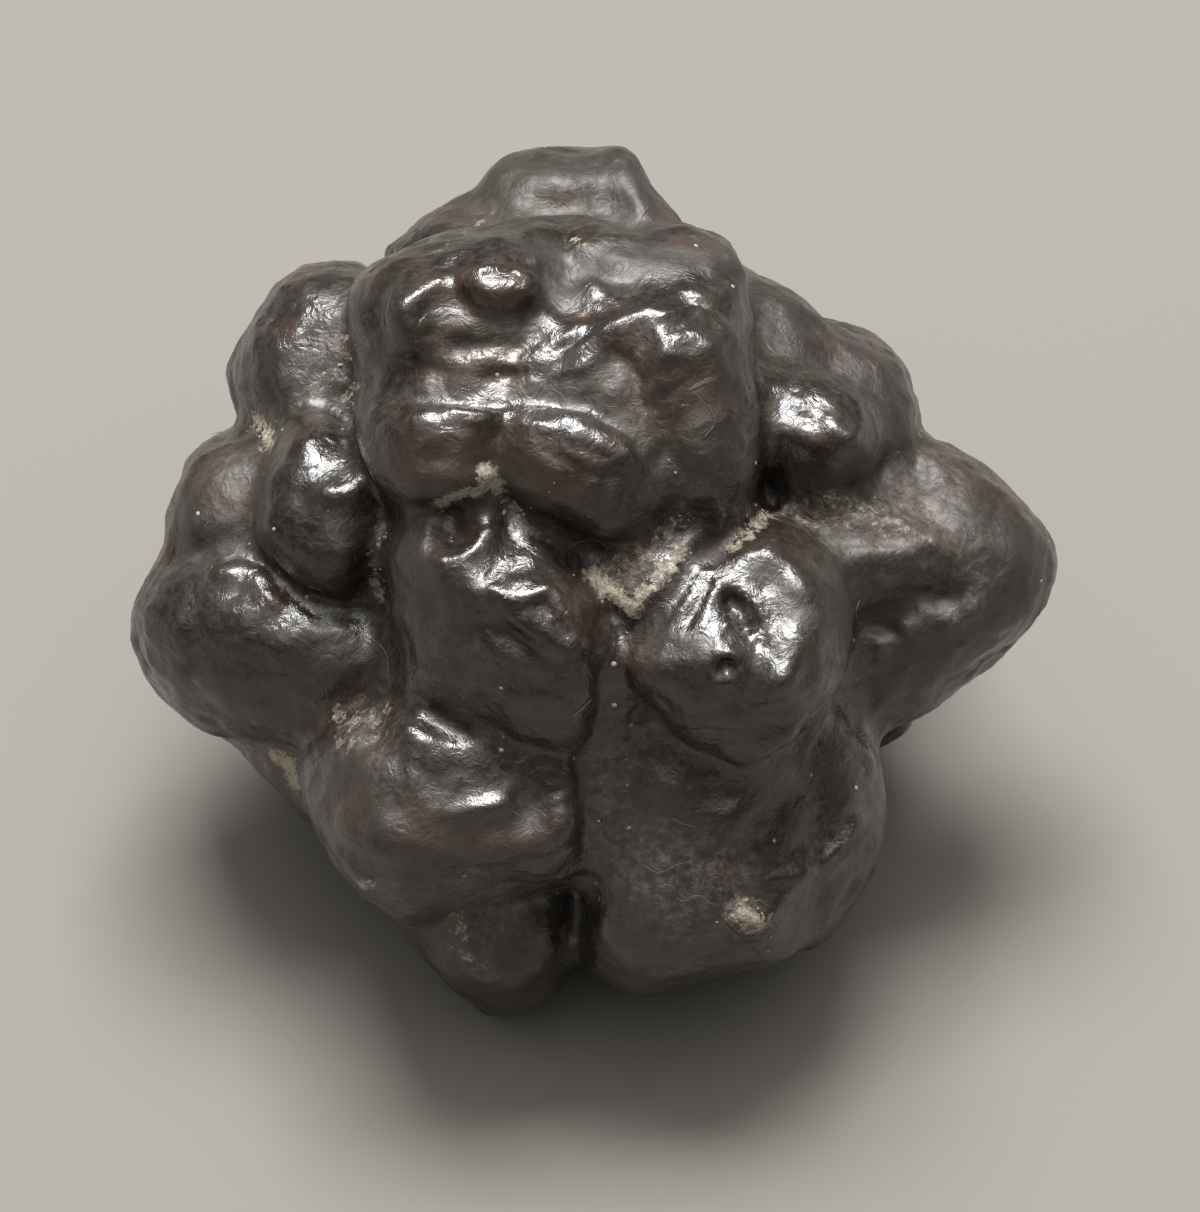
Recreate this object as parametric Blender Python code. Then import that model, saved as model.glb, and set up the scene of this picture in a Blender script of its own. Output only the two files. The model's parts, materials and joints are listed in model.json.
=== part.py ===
"""A prophecy stone: one solid nodule of iron oxide, a cluster of glossy dark knobs grown round a core.

The stone is laid out as a viewer sees it who stands in front of it and looks down on it. Each knob in
that view has an outline, drawn in millimetres to the right of and above the middle of the stone, and a
depth towards the viewer. The knobs at the back and underneath are bosses that grow out of the core.
"""

import math
from collections import namedtuple

import bmesh
import bpy
import numpy as np
from mathutils import Matrix, Vector
from mathutils.bvhtree import BVHTree

MM = 0.001

# The view that the outlines are drawn in
VIEW_ELEVATION = math.radians(50.0)
VIEW_DISTANCE = 230.0

# The stone's driving sizes, in millimetres from the middle of the core
CORE_SIZE = (33.0, 31.0, 26.5)
FLOOR = -16.0

# The surface
VOXEL = 0.42
SMOOTHING = 0.5
SMOOTHING_STEPS = 3
SWELL_SIZE = 4.5
SWELL_HEIGHT = 0.6
DENT_SIZE = 3.6
DENT_DEPTH = 0.35
STROKE_STEP = 0.35
TRIANGLES = 9600
FOOT_TOLERANCE = 0.001
STONE_COLOUR = (0.035, 0.029, 0.026, 1.0)
STONE_ROUGHNESS = 0.3
STONE_METALLIC = 0.2

# How finely the core and a knob are made before they are fused
CORE_DETAIL = 4
OUTLINE_STEPS = 6
BACK_SIZES = (0.4, 0.7, 0.9, 0.98)
FRONT_SIZES = (1.0, 0.985, 0.95, 0.9, 0.82, 0.72, 0.6, 0.45, 0.3, 0.15)

# How uneven a boss's outline is, and the flats round its top, as shares of its height and as a slope
BOSS_POINTS = 9
BOSS_BUMPS = (0.12, 0.08)
BOSS_FLATS = 3
BOSS_FLAT_HEIGHT = 0.86
BOSS_FLAT_SLOPE = 0.55

Knob = namedtuple("Knob", "name rim front back square facets outline")
Boss = namedtuple("Boss", "name azimuth elevation reach width height square turn")
Stroke = namedtuple("Stroke", "lift width route")

# rim is the depth of the outline towards the viewer, front and back how far the knob swells from it, and
# square how flat its top is. Each facet is a plane through a point that the viewer sees, with its rise
# towards the viewer for each millimetre right and up. The facets cut the knob like a roof.
KNOBS = (
    Knob("crown", 15.0, 5.3, 10.0, 3.4, (
        (0.0, 9.0, 0.0, -0.12), (-10.6, 10.0, 0.8, 0.0), (6.8, 9.0, -0.7, 0.0),
        (0.0, 14.2, 0.0, -0.9), (0.0, 3.4, 0.0, 0.9)), (
        (-10.6, 15.2), (-12.1, 13.4), (-11.6, 10.2), (-11.7, 7.9), (-10.9, 5.2), (-8.8, 3.0),
        (-5.4, 3.4), (-3.0, 2.9), (0.5, 1.4), (3.4, 1.8), (6.7, 1.8), (8.1, 5.0), (8.0, 9.0),
        (7.6, 13.5), (6.8, 16.3), (4.5, 17.3), (1.8, 17.0), (-0.5, 17.9), (-3.5, 17.5), (-7.2, 16.8))),
    Knob("crown_upper_left", 16.0, 5.0, 5.0, 2.8, (
        (-6.5, 12.8, 0.0, 0.0), (-6.5, 13.8, 0.0, -0.45), (-9.4, 12.6, 0.7, 0.0), (-6.0, 14.9, 0.0, -1.1)), (
        (-11.9, 13.6), (-11.3, 10.6), (-8.8, 9.8), (-6.3, 9.2), (-3.6, 9.6), (-2.3, 11.5),
        (-1.6, 13.6), (-1.6, 15.6), (-3.2, 16.9), (-6.0, 16.8), (-8.8, 16.2), (-10.8, 15.2))),
    Knob("crown_lower_left", 17.6, 4.2, 5.0, 2.6, (
        (-7.0, 6.6, 0.0, 0.2), (-7.0, 7.6, 0.0, -0.8), (-9.8, 6.4, 0.7, 0.0)), (
        (-11.6, 8.2), (-11.2, 5.9), (-10.1, 4.2), (-8.6, 3.1), (-6.4, 3.1), (-4.4, 3.8),
        (-3.6, 6.0), (-3.9, 8.2), (-7.0, 9.6), (-9.6, 9.6))),
    Knob("crown_lower", 17.6, 4.4, 5.0, 2.6, (
        (-1.0, 6.2, 0.0, 0.2), (-1.0, 7.2, -0.1, -0.8), (0.4, 3.4, 0.1, 0.9), (2.0, 6.0, -0.6, 0.0)), (
        (-5.4, 7.2), (-2.6, 9.4), (0.4, 8.9), (2.8, 7.5), (3.6, 5.0), (3.6, 2.8), (2.5, 1.6),
        (0.5, 1.4), (-1.6, 2.0), (-3.2, 3.1), (-5.4, 4.4))),
    Knob("crown_right", 16.4, 5.1, 5.0, 2.8, (
        (3.0, 10.6, 0.0, 0.0), (3.0, 12.8, 0.1, -0.6), (6.5, 9.0, -0.7, 0.0), (3.0, 13.8, 0.2, -1.1),
        (4.6, 6.2, 0.0, 0.5)), (
        (-3.0, 10.4), (-2.2, 12.6), (0.2, 13.8), (3.2, 15.4), (5.7, 15.5), (7.3, 13.8), (7.7, 11.0),
        (8.1, 8.0), (8.1, 5.2), (6.8, 2.2), (4.6, 2.6), (2.8, 4.5), (1.4, 7.2), (-1.5, 8.9))),
    Knob("peak", 4.4, 5.4, 7.0, 2.8, (
        (-1.0, 18.0, 0.0, -0.1), (-1.0, 18.9, 0.0, -0.9), (-4.6, 18.0, 0.5, 0.0)), (
        (-5.7, 18.9), (-4.8, 20.2), (-3.4, 20.9), (-1.5, 21.2), (0.4, 21.0), (2.0, 20.3), (3.1, 18.6),
        (4.4, 17.2), (4.4, 13.5), (0.0, 12.0), (-5.0, 13.0), (-6.6, 16.5))),
    Knob("peak_left", 4.6, 4.6, 6.0, 2.6, ((-7.0, 16.0, 0.2, -0.2), (-7.5, 17.2, 0.2, -1.0)), (
        (-10.0, 15.2), (-8.6, 17.4), (-7.2, 18.4), (-5.4, 18.9), (-3.5, 17.5), (-4.0, 13.5),
        (-8.0, 13.0))),
    Knob("peak_ridge", 5.0, 5.6, 5.0, 2.4, ((1.8, 18.0, 0.0, -0.3), (2.2, 18.5, -0.7, -0.3)), (
        (0.5, 20.9), (1.3, 21.3), (2.2, 20.4), (3.1, 18.8), (4.4, 17.3), (4.4, 15.0), (1.5, 14.5),
        (0.0, 18.0))),
    Knob("left_upper", 4.0, 5.0, 6.5, 3.2, (
        (-13.0, 11.0, 0.1, -0.1), (-15.7, 11.0, 0.9, 0.1), (-13.0, 13.8, 0.0, -0.8)), (
        (-11.0, 15.1), (-13.0, 15.5), (-14.6, 15.0), (-16.3, 13.1), (-17.7, 11.0), (-17.8, 9.4),
        (-17.0, 7.8), (-15.0, 6.8), (-12.5, 6.2), (-10.0, 8.0), (-9.5, 12.0))),
    Knob("left_middle", 9.6, 4.8, 7.0, 3.0, (
        (-13.2, 4.4, 0.1, 0.0), (-15.5, 4.0, 0.8, 0.0), (-13.0, 0.5, 0.1, 0.8),
        (-13.0, 6.4, 0.0, -0.5)), (
        (-14.6, 8.1), (-15.7, 6.2), (-16.5, 3.8), (-16.7, 2.2), (-15.6, 0.9), (-14.4, -0.4),
        (-13.0, -1.3), (-11.6, -1.0), (-10.5, 0.6), (-9.8, 2.6), (-10.0, 4.8), (-11.3, 6.6),
        (-12.9, 7.9))),
    Knob("left_shoulder", 3.2, 5.8, 7.0, 2.8, (
        (-17.0, 4.2, 0.2, -0.2), (-19.4, 4.0, 0.9, 0.0)), (
        (-14.5, 7.6), (-17.2, 7.4), (-19.3, 6.4), (-20.4, 4.6), (-20.9, 2.2), (-20.8, 0.4),
        (-18.0, -0.8), (-13.5, 0.0), (-11.5, 4.0))),
    Knob("left_lobe", 4.2, 7.0, 7.5, 3.0, (
        (-16.6, -2.8, 0.15, -0.25), (-16.6, -2.8, 0.34, 0.5), (-20.6, -2.0, 0.9, 0.1)), (
        (-16.8, 1.9), (-19.4, 1.7), (-21.3, 0.8), (-22.4, -1.3), (-22.2, -3.8), (-21.0, -5.9),
        (-19.3, -7.2), (-17.2, -7.9), (-14.5, -8.3), (-11.5, -7.7), (-9.3, -4.5), (-9.6, -1.0),
        (-13.0, 1.0))),
    Knob("middle_left", 14.6, 6.4, 9.0, 3.2, (
        (-4.2, -1.6, 0.05, -0.12), (-4.2, -1.6, 0.42, 0.52), (-8.9, 0.0, 0.8, 0.0),
        (-0.8, -3.0, -0.5, 0.1)), (
        (-9.6, 3.0), (-10.2, 0.8), (-9.9, -1.6), (-9.6, -3.8), (-9.2, -5.8), (-7.5, -7.2),
        (-5.6, -8.5), (-3.3, -9.2), (-1.5, -8.8), (-0.2, -7.8), (0.5, -5.6), (0.9, -3.2),
        (0.5, -1.0), (-0.8, 1.2), (-2.6, 2.8), (-4.6, 4.6), (-6.6, 4.8), (-8.2, 4.0))),
    Knob("middle_right", 14.2, 6.2, 9.0, 3.0, (
        (6.2, -3.6, 0.0, -0.25), (6.2, -4.6, -0.05, 0.55), (10.6, -2.0, -0.7, 0.1), (2.4, -3.8, 0.3, 0.1)), (
        (1.2, -3.6), (2.4, -1.0), (4.2, 1.0), (6.0, 2.3), (8.0, 3.2), (10.2, 2.6), (11.9, 0.8),
        (12.6, -1.4), (12.4, -4.0), (11.6, -5.8), (10.6, -7.6), (9.4, -8.9), (7.6, -9.5),
        (5.2, -8.7), (3.4, -7.2), (2.2, -5.8), (1.2, -5.0))),
    Knob("web", 14.6, 4.4, 6.0, 2.8, ((3.0, 0.6, 0.0, -0.35),), (
        (-0.6, 0.5), (1.6, -2.4), (4.2, -1.4), (6.2, 1.4), (6.8, 3.8), (5.1, 5.0), (3.4, 4.2),
        (2.2, 2.2))),
    Knob("right_upper", 11.0, 4.6, 7.0, 3.0, (
        (10.5, 8.0, -0.05, -0.35), (10.5, 6.6, 0.0, 0.8), (13.0, 7.6, -0.8, 0.0), (8.3, 8.0, 0.6, 0.0)), (
        (7.4, 10.8), (9.6, 10.5), (11.6, 9.9), (13.3, 9.0), (14.4, 7.8), (14.3, 6.3), (13.2, 4.9),
        (11.6, 4.0), (10.6, 3.3), (9.2, 4.0), (8.0, 6.0), (7.2, 8.5))),
    Knob("right_back", 6.2, 4.6, 6.0, 2.6, ((8.5, 12.5, -0.2, -0.4), (10.0, 12.8, -0.7, -0.8)), (
        (5.5, 15.6), (7.6, 15.0), (9.6, 14.0), (11.0, 12.7), (11.7, 10.8), (10.0, 8.5), (6.0, 9.0))),
    Knob("right_back_outer", 4.6, 5.0, 6.5, 2.8, ((13.4, 9.0, -0.2, -0.3), (14.8, 9.0, -0.9, -0.3)), (
        (10.6, 12.5), (12.7, 12.3), (14.1, 11.5), (15.2, 10.0), (15.8, 8.2), (15.6, 6.0),
        (12.5, 4.5), (8.5, 6.5), (8.5, 10.5))),
    Knob("right_cone", 5.0, 6.0, 6.5, 2.6, (
        (15.5, 2.6, -0.1, -0.35), (15.5, 1.0, -0.2, 0.5), (19.0, 2.0, -0.55, -0.1)), (
        (14.5, 7.2), (17.9, 6.3), (19.8, 4.8), (21.4, 3.3), (22.4, 1.8), (22.5, 0.2), (22.0, -1.2),
        (20.6, -3.0), (18.5, -4.8), (16.5, -6.2), (14.4, -7.3), (11.0, -8.5), (8.5, -5.0),
        (8.5, 1.0), (11.0, 5.5))),
    Knob("right_shelf", 9.0, 3.4, 5.0, 2.8, (
        (14.0, 2.0, -0.1, -0.3), (14.0, 0.9, -0.3, 0.7), (16.6, 1.6, -0.8, 0.0)), (
        (10.4, 3.4), (12.8, 4.6), (15.4, 3.8), (17.4, 2.3), (18.0, 0.9), (17.4, 0.1), (15.4, -0.5),
        (13.4, -1.9), (11.0, -1.5), (9.5, 1.0))),
    Knob("lower_left", 9.6, 6.0, 8.0, 3.2, (
        (-5.0, -10.0, 0.0, 0.1), (-5.0, -12.7, 0.0, 0.9), (-10.0, -10.0, 0.7, 0.0),
        (-1.0, -11.0, -0.3, 0.1)), (
        (-13.9, -7.7), (-12.4, -6.8), (-10.4, -6.0), (-8.0, -6.0), (-4.0, -6.5), (0.0, -7.5),
        (0.7, -9.5), (0.6, -12.6), (-0.4, -14.6), (-3.0, -15.3), (-6.0, -16.0), (-8.6, -17.0),
        (-10.4, -16.2), (-12.2, -14.7), (-13.4, -12.6), (-14.1, -10.4))),
    Knob("lower_right", 7.6, 6.6, 8.0, 3.0, (
        (4.5, -12.0, 0.0, 0.42), (4.5, -16.8, 0.1, 1.1), (7.8, -12.0, -0.4, 0.3)), (
        (0.8, -8.0), (3.0, -6.5), (8.0, -6.5), (10.5, -8.5), (11.2, -12.0), (10.8, -16.0),
        (9.4, -18.4), (7.4, -19.3), (4.6, -19.8), (2.5, -20.3), (0.9, -19.8), (-0.4, -18.6),
        (-0.2, -15.0), (0.5, -11.5))),
    Knob("lower_right_side", 5.4, 6.4, 7.0, 2.8, (
        (10.8, -9.0, -0.35, 0.4), (10.4, -13.8, -0.5, 0.9), (12.6, -10.0, -0.9, 0.0)), (
        (8.0, -7.0), (11.0, -5.5), (12.6, -6.6), (13.8, -8.4), (14.0, -10.6), (13.8, -13.2),
        (13.1, -15.2), (11.8, -17.1), (10.0, -18.2), (7.5, -17.0), (6.5, -12.0))),
    Knob("middle_seam", 13.0, 3.4, 6.0, 2.4, ((0.8, -4.5, 0.0, 0.35),), (
        (-1.6, -2.4), (0.8, -1.6), (3.2, -3.0), (3.6, -6.0), (1.8, -8.4), (0.0, -8.8), (-1.8, -7.0))),
    Knob("lower_seam", 10.2, 3.4, 6.0, 2.4, ((0.6, -10.5, 0.0, 0.35),), (
        (-1.6, -7.2), (2.4, -6.8), (2.8, -11.0), (1.4, -15.4), (0.0, -15.8), (-1.6, -12.0))),
    Knob("front_foot", 2.4, 5.0, 7.0, 2.6, ((-5.0, -16.5, 0.0, 0.4), (-5.0, -18.4, 0.0, 1.0)), (
        (-9.6, -15.0), (-8.8, -17.6), (-7.4, -19.4), (-5.6, -20.9), (-4.2, -21.3), (-2.7, -20.8),
        (-1.5, -19.6), (-0.8, -18.0), (-0.8, -15.0), (-3.0, -12.0), (-8.0, -12.0))),
    Knob("left_under", 1.5, 4.6, 6.0, 2.6, ((-13.5, -9.0, 0.4, 0.4),), (
        (-18.0, -6.5), (-16.6, -9.0), (-15.1, -10.6), (-13.4, -11.9), (-9.0, -13.0), (-8.0, -7.0),
        (-14.0, -4.5))),
)

# azimuth is measured from the right side through the back, reach from the middle to the boss's top
BOSSES = (
    Boss("back_right", 42.0, -4.0, 20.8, 12.0, 12.0, 2.6, 15.0),
    Boss("back", 84.0, 1.0, 22.0, 12.0, 13.0, 2.6, 40.0),
    Boss("back_left", 128.0, 4.0, 21.0, 12.0, 12.0, 2.6, 70.0),
    Boss("back_high", 100.0, 30.0, 20.8, 10.0, 8.0, 2.4, 10.0),
    Boss("left_low", 176.0, -26.0, 20.4, 11.0, 10.0, 2.4, 30.0),
    Boss("back_low_left", 132.0, -42.0, 21.4, 11.0, 12.0, 2.6, 55.0),
    Boss("back_low", 94.0, -28.0, 20.0, 9.0, 9.0, 2.6, 20.0),
    Boss("back_low_right", 56.0, -43.0, 21.4, 12.0, 11.0, 2.6, 80.0),
    Boss("right_low", 6.0, -26.0, 19.4, 11.0, 12.0, 2.4, 5.0),
    Boss("front_low_left", 236.0, -44.0, 19.8, 11.0, 10.0, 2.6, 35.0),
    Boss("front_low_right", 300.0, -45.0, 20.6, 11.5, 11.0, 2.6, 65.0),
    Boss("under", 180.0, -84.0, 16.2, 9.0, 10.0, 2.6, 25.0),
    Boss("under_front", 268.0, -66.0, 16.6, 9.0, 8.0, 2.4, 50.0),
    Boss("under_left", 186.0, -56.0, 17.6, 9.0, 8.0, 2.6, 10.0),
    Boss("under_right", 352.0, -58.0, 17.4, 10.0, 8.0, 2.6, 75.0),
    Boss("under_back", 96.0, -60.0, 17.0, 8.0, 9.0, 2.6, 30.0),
)

# Ridges raised and hollows pressed along lines on the skin, drawn where the viewer sees them
STROKES = (
    # the crown's notch and the valleys between its lobes
    Stroke(-0.9, 1.7, ((-1.3, 17.8), (-0.9, 16.0), (-0.6, 14.3), (-1.8, 12.9))),
    Stroke(0.6, 1.0, ((-0.9, 16.4), (-0.4, 16.2))),
    Stroke(-0.5, 1.6, ((-11.4, 10.0), (-9.3, 9.8), (-7.2, 9.3), (-5.0, 9.2), (-3.2, 9.8))),
    Stroke(-0.25, 1.6, ((-4.4, 7.2), (-4.2, 5.6), (-4.6, 4.2))),
    Stroke(-0.4, 1.5, ((2.4, 8.8), (3.6, 6.6), (3.7, 4.4), (4.4, 2.8))),
    # its upper left lobe
    Stroke(1.0, 2.4, ((-4.9, 14.3), (-4.2, 14.0))),
    Stroke(-0.4, 1.1, ((-7.0, 14.9), (-7.0, 13.6), (-6.2, 12.5), (-4.8, 11.9), (-3.2, 12.3))),
    Stroke(0.35, 1.5, ((-9.4, 13.0), (-8.2, 14.0), (-7.3, 14.6))),
    Stroke(0.35, 1.5, ((-9.3, 12.8), (-8.7, 12.0), (-8.4, 11.1))),
    Stroke(-0.4, 1.8, ((-6.9, 11.7), (-5.6, 11.2))),
    Stroke(0.45, 1.4, ((-6.8, 10.6), (-5.2, 10.2), (-3.8, 10.7))),
    # the ridge along its lower lobes
    Stroke(0.35, 1.6, (
        (-8.8, 7.7), (-7.2, 8.1), (-5.4, 7.8), (-3.8, 7.9), (-1.6, 7.8), (0.2, 7.1), (1.6, 6.4))),
    Stroke(0.3, 2.6, ((-7.6, 6.0), (-6.6, 5.6))),
    # its right lobe
    Stroke(0.4, 1.7, ((0.8, 12.4), (2.2, 13.0), (4.0, 14.0), (5.8, 13.6))),
    Stroke(0.6, 2.0, ((-1.6, 11.3), (-0.9, 11.9))),
    Stroke(-0.5, 1.2, ((0.2, 12.4), (0.5, 11.2), (0.3, 9.8))),
    Stroke(0.35, 1.3, ((2.7, 9.3), (3.3, 10.4), (4.2, 11.1), (5.5, 11.0))),
    Stroke(-0.5, 1.5, ((1.6, 10.9), (2.0, 10.0))),
    Stroke(-0.4, 1.2, ((5.0, 12.4), (5.9, 12.1))),
    # the two middle knobs
    Stroke(-0.6, 1.8, ((-7.3, 2.8), (-6.6, 2.2))),
    Stroke(0.3, 1.3, ((-7.8, 0.7), (-6.4, 0.9), (-5.4, 1.9), (-5.0, 3.2))),
    Stroke(0.4, 1.6, ((-5.0, -0.7), (-3.6, -0.9), (-2.2, -0.9), (-1.4, -1.9), (-0.9, -3.1))),
    Stroke(-0.5, 1.3, ((-4.0, 3.4), (-4.0, 1.6), (-4.7, 0.3))),
    Stroke(-0.8, 1.4, ((7.0, -1.4), (7.5, -2.2))),
    Stroke(0.3, 1.6, ((8.3, 1.6), (9.6, 0.6), (10.4, -0.8))),
    Stroke(0.5, 1.5, ((8.6, -4.9), (9.1, -5.2))),
    Stroke(-0.45, 1.3, ((7.4, -5.8), (8.2, -3.6), (9.0, -1.8), (8.6, -0.2))),
    # the right side
    Stroke(-0.3, 1.6, ((9.6, 8.3), (10.6, 8.0))),
    Stroke(-0.4, 1.3, ((16.0, 6.8), (16.0, 5.5), (15.6, 4.6))),
    Stroke(0.5, 1.3, ((18.6, -0.8), (17.2, -1.9), (15.8, -2.3))),
    Stroke(-0.4, 1.2, ((13.0, -2.6), (15.0, -1.4), (17.2, -0.8))),
    # the left side
    Stroke(-0.5, 1.2, ((-20.6, 1.2), (-19.0, 1.5), (-17.2, 2.0))),
    Stroke(0.4, 1.6, ((-18.6, 0.3), (-17.3, 0.2), (-16.0, -0.9))),
    Stroke(0.4, 1.4, ((-12.9, 4.2), (-11.6, 4.4))),
    # the lower knobs
    Stroke(0.5, 1.4, ((-8.6, -7.5), (-7.6, -8.4), (-6.4, -9.4))),
    Stroke(-0.5, 1.3, ((-10.8, -6.8), (-10.3, -8.6), (-9.6, -10.6))),
    Stroke(0.5, 1.6, ((-1.7, -10.2), (-1.5, -11.4))),
    Stroke(0.35, 1.5, ((-6.0, -11.1), (-4.6, -11.0))),
    Stroke(-0.4, 1.3, ((-3.2, -9.5), (-3.2, -11.4))),
    Stroke(0.5, 1.3, ((8.6, -14.5), (10.4, -14.2), (11.8, -13.2), (12.8, -12.2))),
    Stroke(0.5, 1.4, ((7.6, -8.6), (9.2, -7.8))),
    Stroke(-0.6, 1.4, ((8.8, -10.2), (8.8, -12.0), (8.2, -13.4))),
    Stroke(0.5, 1.7, ((7.2, -16.8), (8.0, -16.4))),
)


def view_axes():
    """The viewer's right, up and towards, as directions in the stone's frame."""
    right = Vector((1.0, 0.0, 0.0))
    up = Vector((0.0, math.sin(VIEW_ELEVATION), math.cos(VIEW_ELEVATION)))
    towards = Vector((0.0, -math.cos(VIEW_ELEVATION), math.sin(VIEW_ELEVATION)))
    return right, up, towards


def placed(seen, depth):
    """The point, in the stone's frame, that the viewer sees at seen and that lies at that depth."""
    right, up, towards = view_axes()
    nearness = (VIEW_DISTANCE - depth) / VIEW_DISTANCE
    return (right * seen[0] * nearness + up * seen[1] * nearness + towards * depth) * MM


def through(points):
    """A smooth closed line through the points, as an array."""
    ring = np.array(points, float)
    before, after, further = (np.roll(ring, shift, axis=0) for shift in (1, -1, -2))
    line = []
    for step in range(OUTLINE_STEPS):
        t = step / OUTLINE_STEPS
        line.append(0.5 * (
            2 * ring + (after - before) * t
            + (2 * before - 5 * ring + 4 * after - further) * t ** 2
            + (3 * ring - before - 3 * after + further) * t ** 3))
    return np.stack(line, axis=1).reshape(-1, 2)


def dome(square):
    """Pairs of size and height from the back pole to the front pole of a rounded form."""
    def height(size):
        return (1.0 - size ** square) ** (1.0 / square)

    return [(size, -height(size)) for size in BACK_SIZES] + [(size, height(size)) for size in FRONT_SIZES]


def rings_to_mesh(mesh, rings, back_pole, front_pole):
    """Adds a closed form to the mesh from rings of points between two poles."""
    loops = [[mesh.verts.new(point) for point in ring] for ring in rings]
    first, last = mesh.verts.new(back_pole), mesh.verts.new(front_pole)
    count = len(loops[0])
    for i in range(count):
        j = (i + 1) % count
        mesh.faces.new((first, loops[0][j], loops[0][i]))
        mesh.faces.new((last, loops[-1][i], loops[-1][j]))
        for low, high in zip(loops, loops[1:]):
            mesh.faces.new((low[i], low[j], high[j], high[i]))


def add_knob(mesh, knob):
    """A knob that is seen from the front, swollen from its outline."""
    outline = through(knob.outline)
    middle = outline.mean(axis=0)

    def point(seen, swell):
        roof = min(
            (seen[0] - right) * rise_right + (seen[1] - up) * rise_up
            for right, up, rise_right, rise_up in knob.facets)
        return placed(seen, knob.rim + swell + roof)

    def swell(height):
        return height * (knob.front if height > 0 else knob.back)

    rings = [
        [point(middle + (seen - middle) * size, swell(height)) for seen in outline]
        for size, height in dome(knob.square)
    ]
    rings_to_mesh(mesh, rings, point(middle, swell(-1.0)), point(middle, swell(1.0)))


def boss_outline(boss):
    """An uneven round outline, whose bumps turn with the boss."""
    turn = math.radians(boss.turn)
    angles = np.linspace(0.0, 2.0 * math.pi, BOSS_POINTS, endpoint=False)
    three, two = BOSS_BUMPS
    radius = 1.0 + three * np.cos(3.0 * angles + turn) + two * np.cos(2.0 * angles - 2.0 * turn)
    return np.stack([
        np.cos(angles) * radius * boss.width / 2.0,
        np.sin(angles) * radius * boss.height / 2.0], axis=1)


def add_boss(mesh, boss):
    """A knob at the back or underneath, grown straight out of the core."""
    azimuth, elevation = math.radians(boss.azimuth), math.radians(boss.elevation)
    out = Vector((
        math.cos(azimuth) * math.cos(elevation),
        math.sin(azimuth) * math.cos(elevation),
        math.sin(elevation)))
    swell = min(boss.width, boss.height) / 2.0
    turn = out.to_track_quat("Z", "Y").to_matrix() @ Matrix.Rotation(math.radians(boss.turn), 3, "Z")
    middle = out * (boss.reach - swell)
    outline = through(boss_outline(boss))

    def point(x, y, z):
        flats = (2.0 * math.pi * flat / BOSS_FLATS for flat in range(BOSS_FLATS))
        roof = swell * BOSS_FLAT_HEIGHT - BOSS_FLAT_SLOPE * max(
            x * math.cos(flat) + y * math.sin(flat) for flat in flats)
        return (middle + turn @ Vector((x, y, min(z, roof)))) * MM

    rings = [
        [point(x * size, y * size, height * swell) for x, y in outline]
        for size, height in dome(boss.square)
    ]
    rings_to_mesh(mesh, rings, point(0.0, 0.0, -swell), point(0.0, 0.0, swell))


def add_core(mesh):
    """The rounded middle of the nodule, which the knobs grow out of."""
    size = Matrix.Diagonal((*CORE_SIZE, 1.0))
    bmesh.ops.create_icosphere(mesh, subdivisions=CORE_DETAIL, radius=0.5 * MM, matrix=size)


def stone_material():
    material = bpy.data.materials.new("iron_oxide")
    material.use_nodes = True
    shader = material.node_tree.nodes["Principled BSDF"]
    shader.inputs["Base Color"].default_value = STONE_COLOUR
    shader.inputs["Roughness"].default_value = STONE_ROUGHNESS
    shader.inputs["Metallic"].default_value = STONE_METALLIC
    return material


def settle(stone):
    """Keeps the shape that the modifiers give the stone, and takes them off."""
    bpy.context.view_layer.update()
    graph = bpy.context.evaluated_depsgraph_get()
    stone.data, before = bpy.data.meshes.new_from_object(stone.evaluated_get(graph)), stone.data
    stone.modifiers.clear()
    bpy.data.meshes.remove(before)


def displace(stone, kind, size, height):
    """Moves the skin in and out by a procedural pattern."""
    pattern = bpy.data.textures.new(kind.lower(), kind)
    pattern.noise_scale = size * MM
    modifier = stone.modifiers.new(kind.lower(), "DISPLACE")
    modifier.texture = pattern
    modifier.strength = height * MM


def soften(stone, steps):
    """Rounds the skin a little."""
    modifier = stone.modifiers.new("soften", "SMOOTH")
    modifier.factor = SMOOTHING
    modifier.iterations = steps


def fuse(stone):
    """Fuses the knobs into one skin, softens their joins and swells and dents it a little unevenly."""
    modifier = stone.modifiers.new("fuse", "REMESH")
    modifier.mode = "VOXEL"
    modifier.voxel_size = VOXEL * MM
    soften(stone, SMOOTHING_STEPS)
    displace(stone, "CLOUDS", SWELL_SIZE, SWELL_HEIGHT)
    displace(stone, "VORONOI", DENT_SIZE, DENT_DEPTH)
    settle(stone)


def open_line(points):
    """Points a short step apart along the line through the points."""
    line = []
    for start, end in zip(points, points[1:]):
        start, end = Vector(start), Vector(end)
        steps = max(1, round((end - start).length / STROKE_STEP))
        line += [start.lerp(end, step / steps) for step in range(steps)]
    return line + [Vector(points[-1])]


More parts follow.
